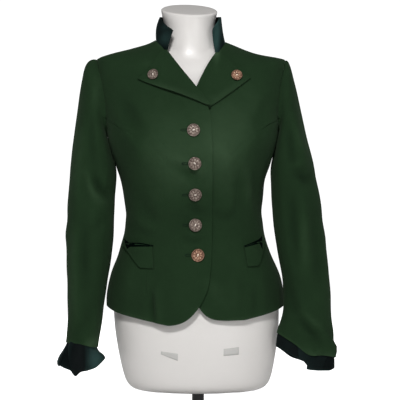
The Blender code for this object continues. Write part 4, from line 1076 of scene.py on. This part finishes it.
def cast_button(node, turned):
    """A fine button in the place of a node's plain one."""
    corners = node_points(node)
    middle = corners.mean(axis=0)
    facing = Vector(np.linalg.svd(corners - middle, full_matrices=False)[2][2])
    if facing.y > 0:
        facing = -facing
    depths = (corners - middle) @ np.array(facing)
    foot = Vector(middle) + facing * float(depths.min())
    flat = corners - np.outer(depths, facing) - middle
    radius = float(np.linalg.norm(flat, axis=1).max())
    bm = bmesh.new()
    verts = [bm.verts.new((share * radius, 0, height)) for share, height in SECTION]
    edges = [bm.edges.new(pair) for pair in zip(verts, verts[1:], strict=False)]
    bmesh.ops.spin(bm, geom=verts + edges, cent=(0, 0, 0), axis=(0, 0, 1), angle=2 * math.pi,
                   steps=BUTTON_SIDES, use_merge=True)
    bmesh.ops.remove_doubles(bm, verts=bm.verts[:], dist=MERGE)
    bmesh.ops.recalc_face_normals(bm, faces=bm.faces[:])
    relief = bm.verts.layers.float.new("relief")
    for vert in bm.verts:
        rise, light = 0.0, HOLLOW_RELIEF
        if vert.co.z > TOP_FROM:
            share, turn = vert.co.xy.length / radius, math.atan2(vert.co.y, vert.co.x)
            rise, light = relief_at(share, turn)
        vert.co.z += rise
        vert[relief] = light
    place = Matrix.Translation(foot) @ facing.to_track_quat("Z", "Y").to_matrix().to_4x4()
    bmesh.ops.transform(bm, matrix=place @ Matrix.Rotation(math.radians(turned), 4, "Z"), verts=bm.verts[:])
    metal = COPPERED if node in WORN_THROUGH else SILVER
    piece = finish_piece("cast_" + node, mesh_from(bm, "cast_" + node), metal)
    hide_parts(node)
    return piece


BUTTON_TURNS = {"button_1": 20, "button_2": -35, "button_3": 4, "button_4": 60, "button_5": 75,
                "lapel_button_right": 100, "lapel_button_left": 12}
buttons = [cast_button(node, turned) for node, turned in BUTTON_TURNS.items()]
print("buttons:", len(buttons), "faces each:", len(buttons[0].data.polygons))

# %% [markdown]
# ## Plugs in the form's hips
# Two flat plugs close the slots where a shop stand would pass. Their faint outlines show below the hem.

# %% Set the plugs
PLUG_LIFT = 0.0002
PLUG_THICK = 0.0006
PLUGS = {
    "plug_right": (((-0.0715, 0.1984), (-0.0386, 0.1862)), ((-0.0712, 0.204), (-0.0386, 0.2001))),
    "plug_left": (((0.0495, 0.1957), (0.0789, 0.1972)), ((0.0495, 0.209), (0.0789, 0.2118))),
}
form_tree = tree_of(form)
for name, (lower, upper) in PLUGS.items():
    strip(name, lower, upper, form_tree, PLUG_LIFT, PLUG_THICK, OUTLINE)
print("plugs:", len(PLUGS))

# %% [markdown]
# ## Floor and light
# The background is plain white. A wide pale floor runs out of sight, and the world behind it is as white,
# so no horizon shows. The main light is a soft box high over the camera, which leaves small gleams on the
# form's neck and lets the sides fall darker. A second one stands to the side. A third lights the back for
# anyone walking round, and is left out of the gloss, so that the form doesn't mirror it.

# %% Light the scene
FLOOR_RADIUS = 9.0
FLOOR_DROP = 0.0005
FLOOR_GLOW = 0.9
WORLD_SEEN = 1.1
WORLD_LIGHT = 0.13
LIGHTS = (
    # name, place, size, watts
    ("soft_box", (-0.24, -2.9, 2.45), 0.6, 70.0),
    ("side_fill", (1.3, -2.8, 0.9), 0.9, 13.0),
    ("back_fill", (-0.7, 3.0, 1.6), 1.4, 45.0),
)
LIGHT_AIM = Vector((0, 0, 0.5))

floor_bm = bmesh.new()
bmesh.ops.create_circle(floor_bm, cap_ends=True, radius=FLOOR_RADIUS, segments=96)
floor_mesh = mesh_from(floor_bm, "floor")
floor_material, floor_tree, floor_shader, floor_where = new_material("pale floor")
floor_tone = placed(floor_tree, TONE_GROUP, floor_where, Patches_per_metre=2.0)
floor_colour = ramp(floor_tree, floor_tone.outputs["Tone"], (0.3, (0.93,) * 3), (0.7, (0.95,) * 3))
floor_seen = node_in(floor_tree, "ShaderNodeLightPath").outputs["Is Camera Ray"]
set_inputs(floor_tree, floor_shader, Base_Color=floor_colour, Roughness=0.9, Emission_Color=(1, 1, 1, 1),
           Emission_Strength=maths(floor_tree, "MULTIPLY", floor_seen, FLOOR_GLOW))
floor_mesh.materials.append(floor_material)
floor = linked("floor", floor_mesh)
floor.location.z = -FLOOR_DROP

for name, place, size, watts in LIGHTS:
    lamp = bpy.data.lights.new(name, "AREA")
    lamp.shape = "DISK"
    lamp.size = size
    lamp.energy = watts
    stand = linked(name, lamp)
    stand.location = place
    stand.visible_glossy = place[1] < 0
    stand.rotation_euler = (LIGHT_AIM - Vector(place)).to_track_quat("-Z", "Y").to_euler()

world = bpy.data.worlds.new("white studio")
world.use_nodes = True
sky_tree = world.node_tree
ray = node_in(sky_tree, "ShaderNodeLightPath").outputs["Is Camera Ray"]
bright = maths(sky_tree, "MAXIMUM", maths(sky_tree, "MULTIPLY", ray, WORLD_SEEN), WORLD_LIGHT)
set_inputs(sky_tree, sky_tree.nodes["Background"], Color=(1, 1, 1, 1), Strength=bright)
scene.world = world
scene.view_settings.view_transform = "Standard"
print("lights:", len(LIGHTS))
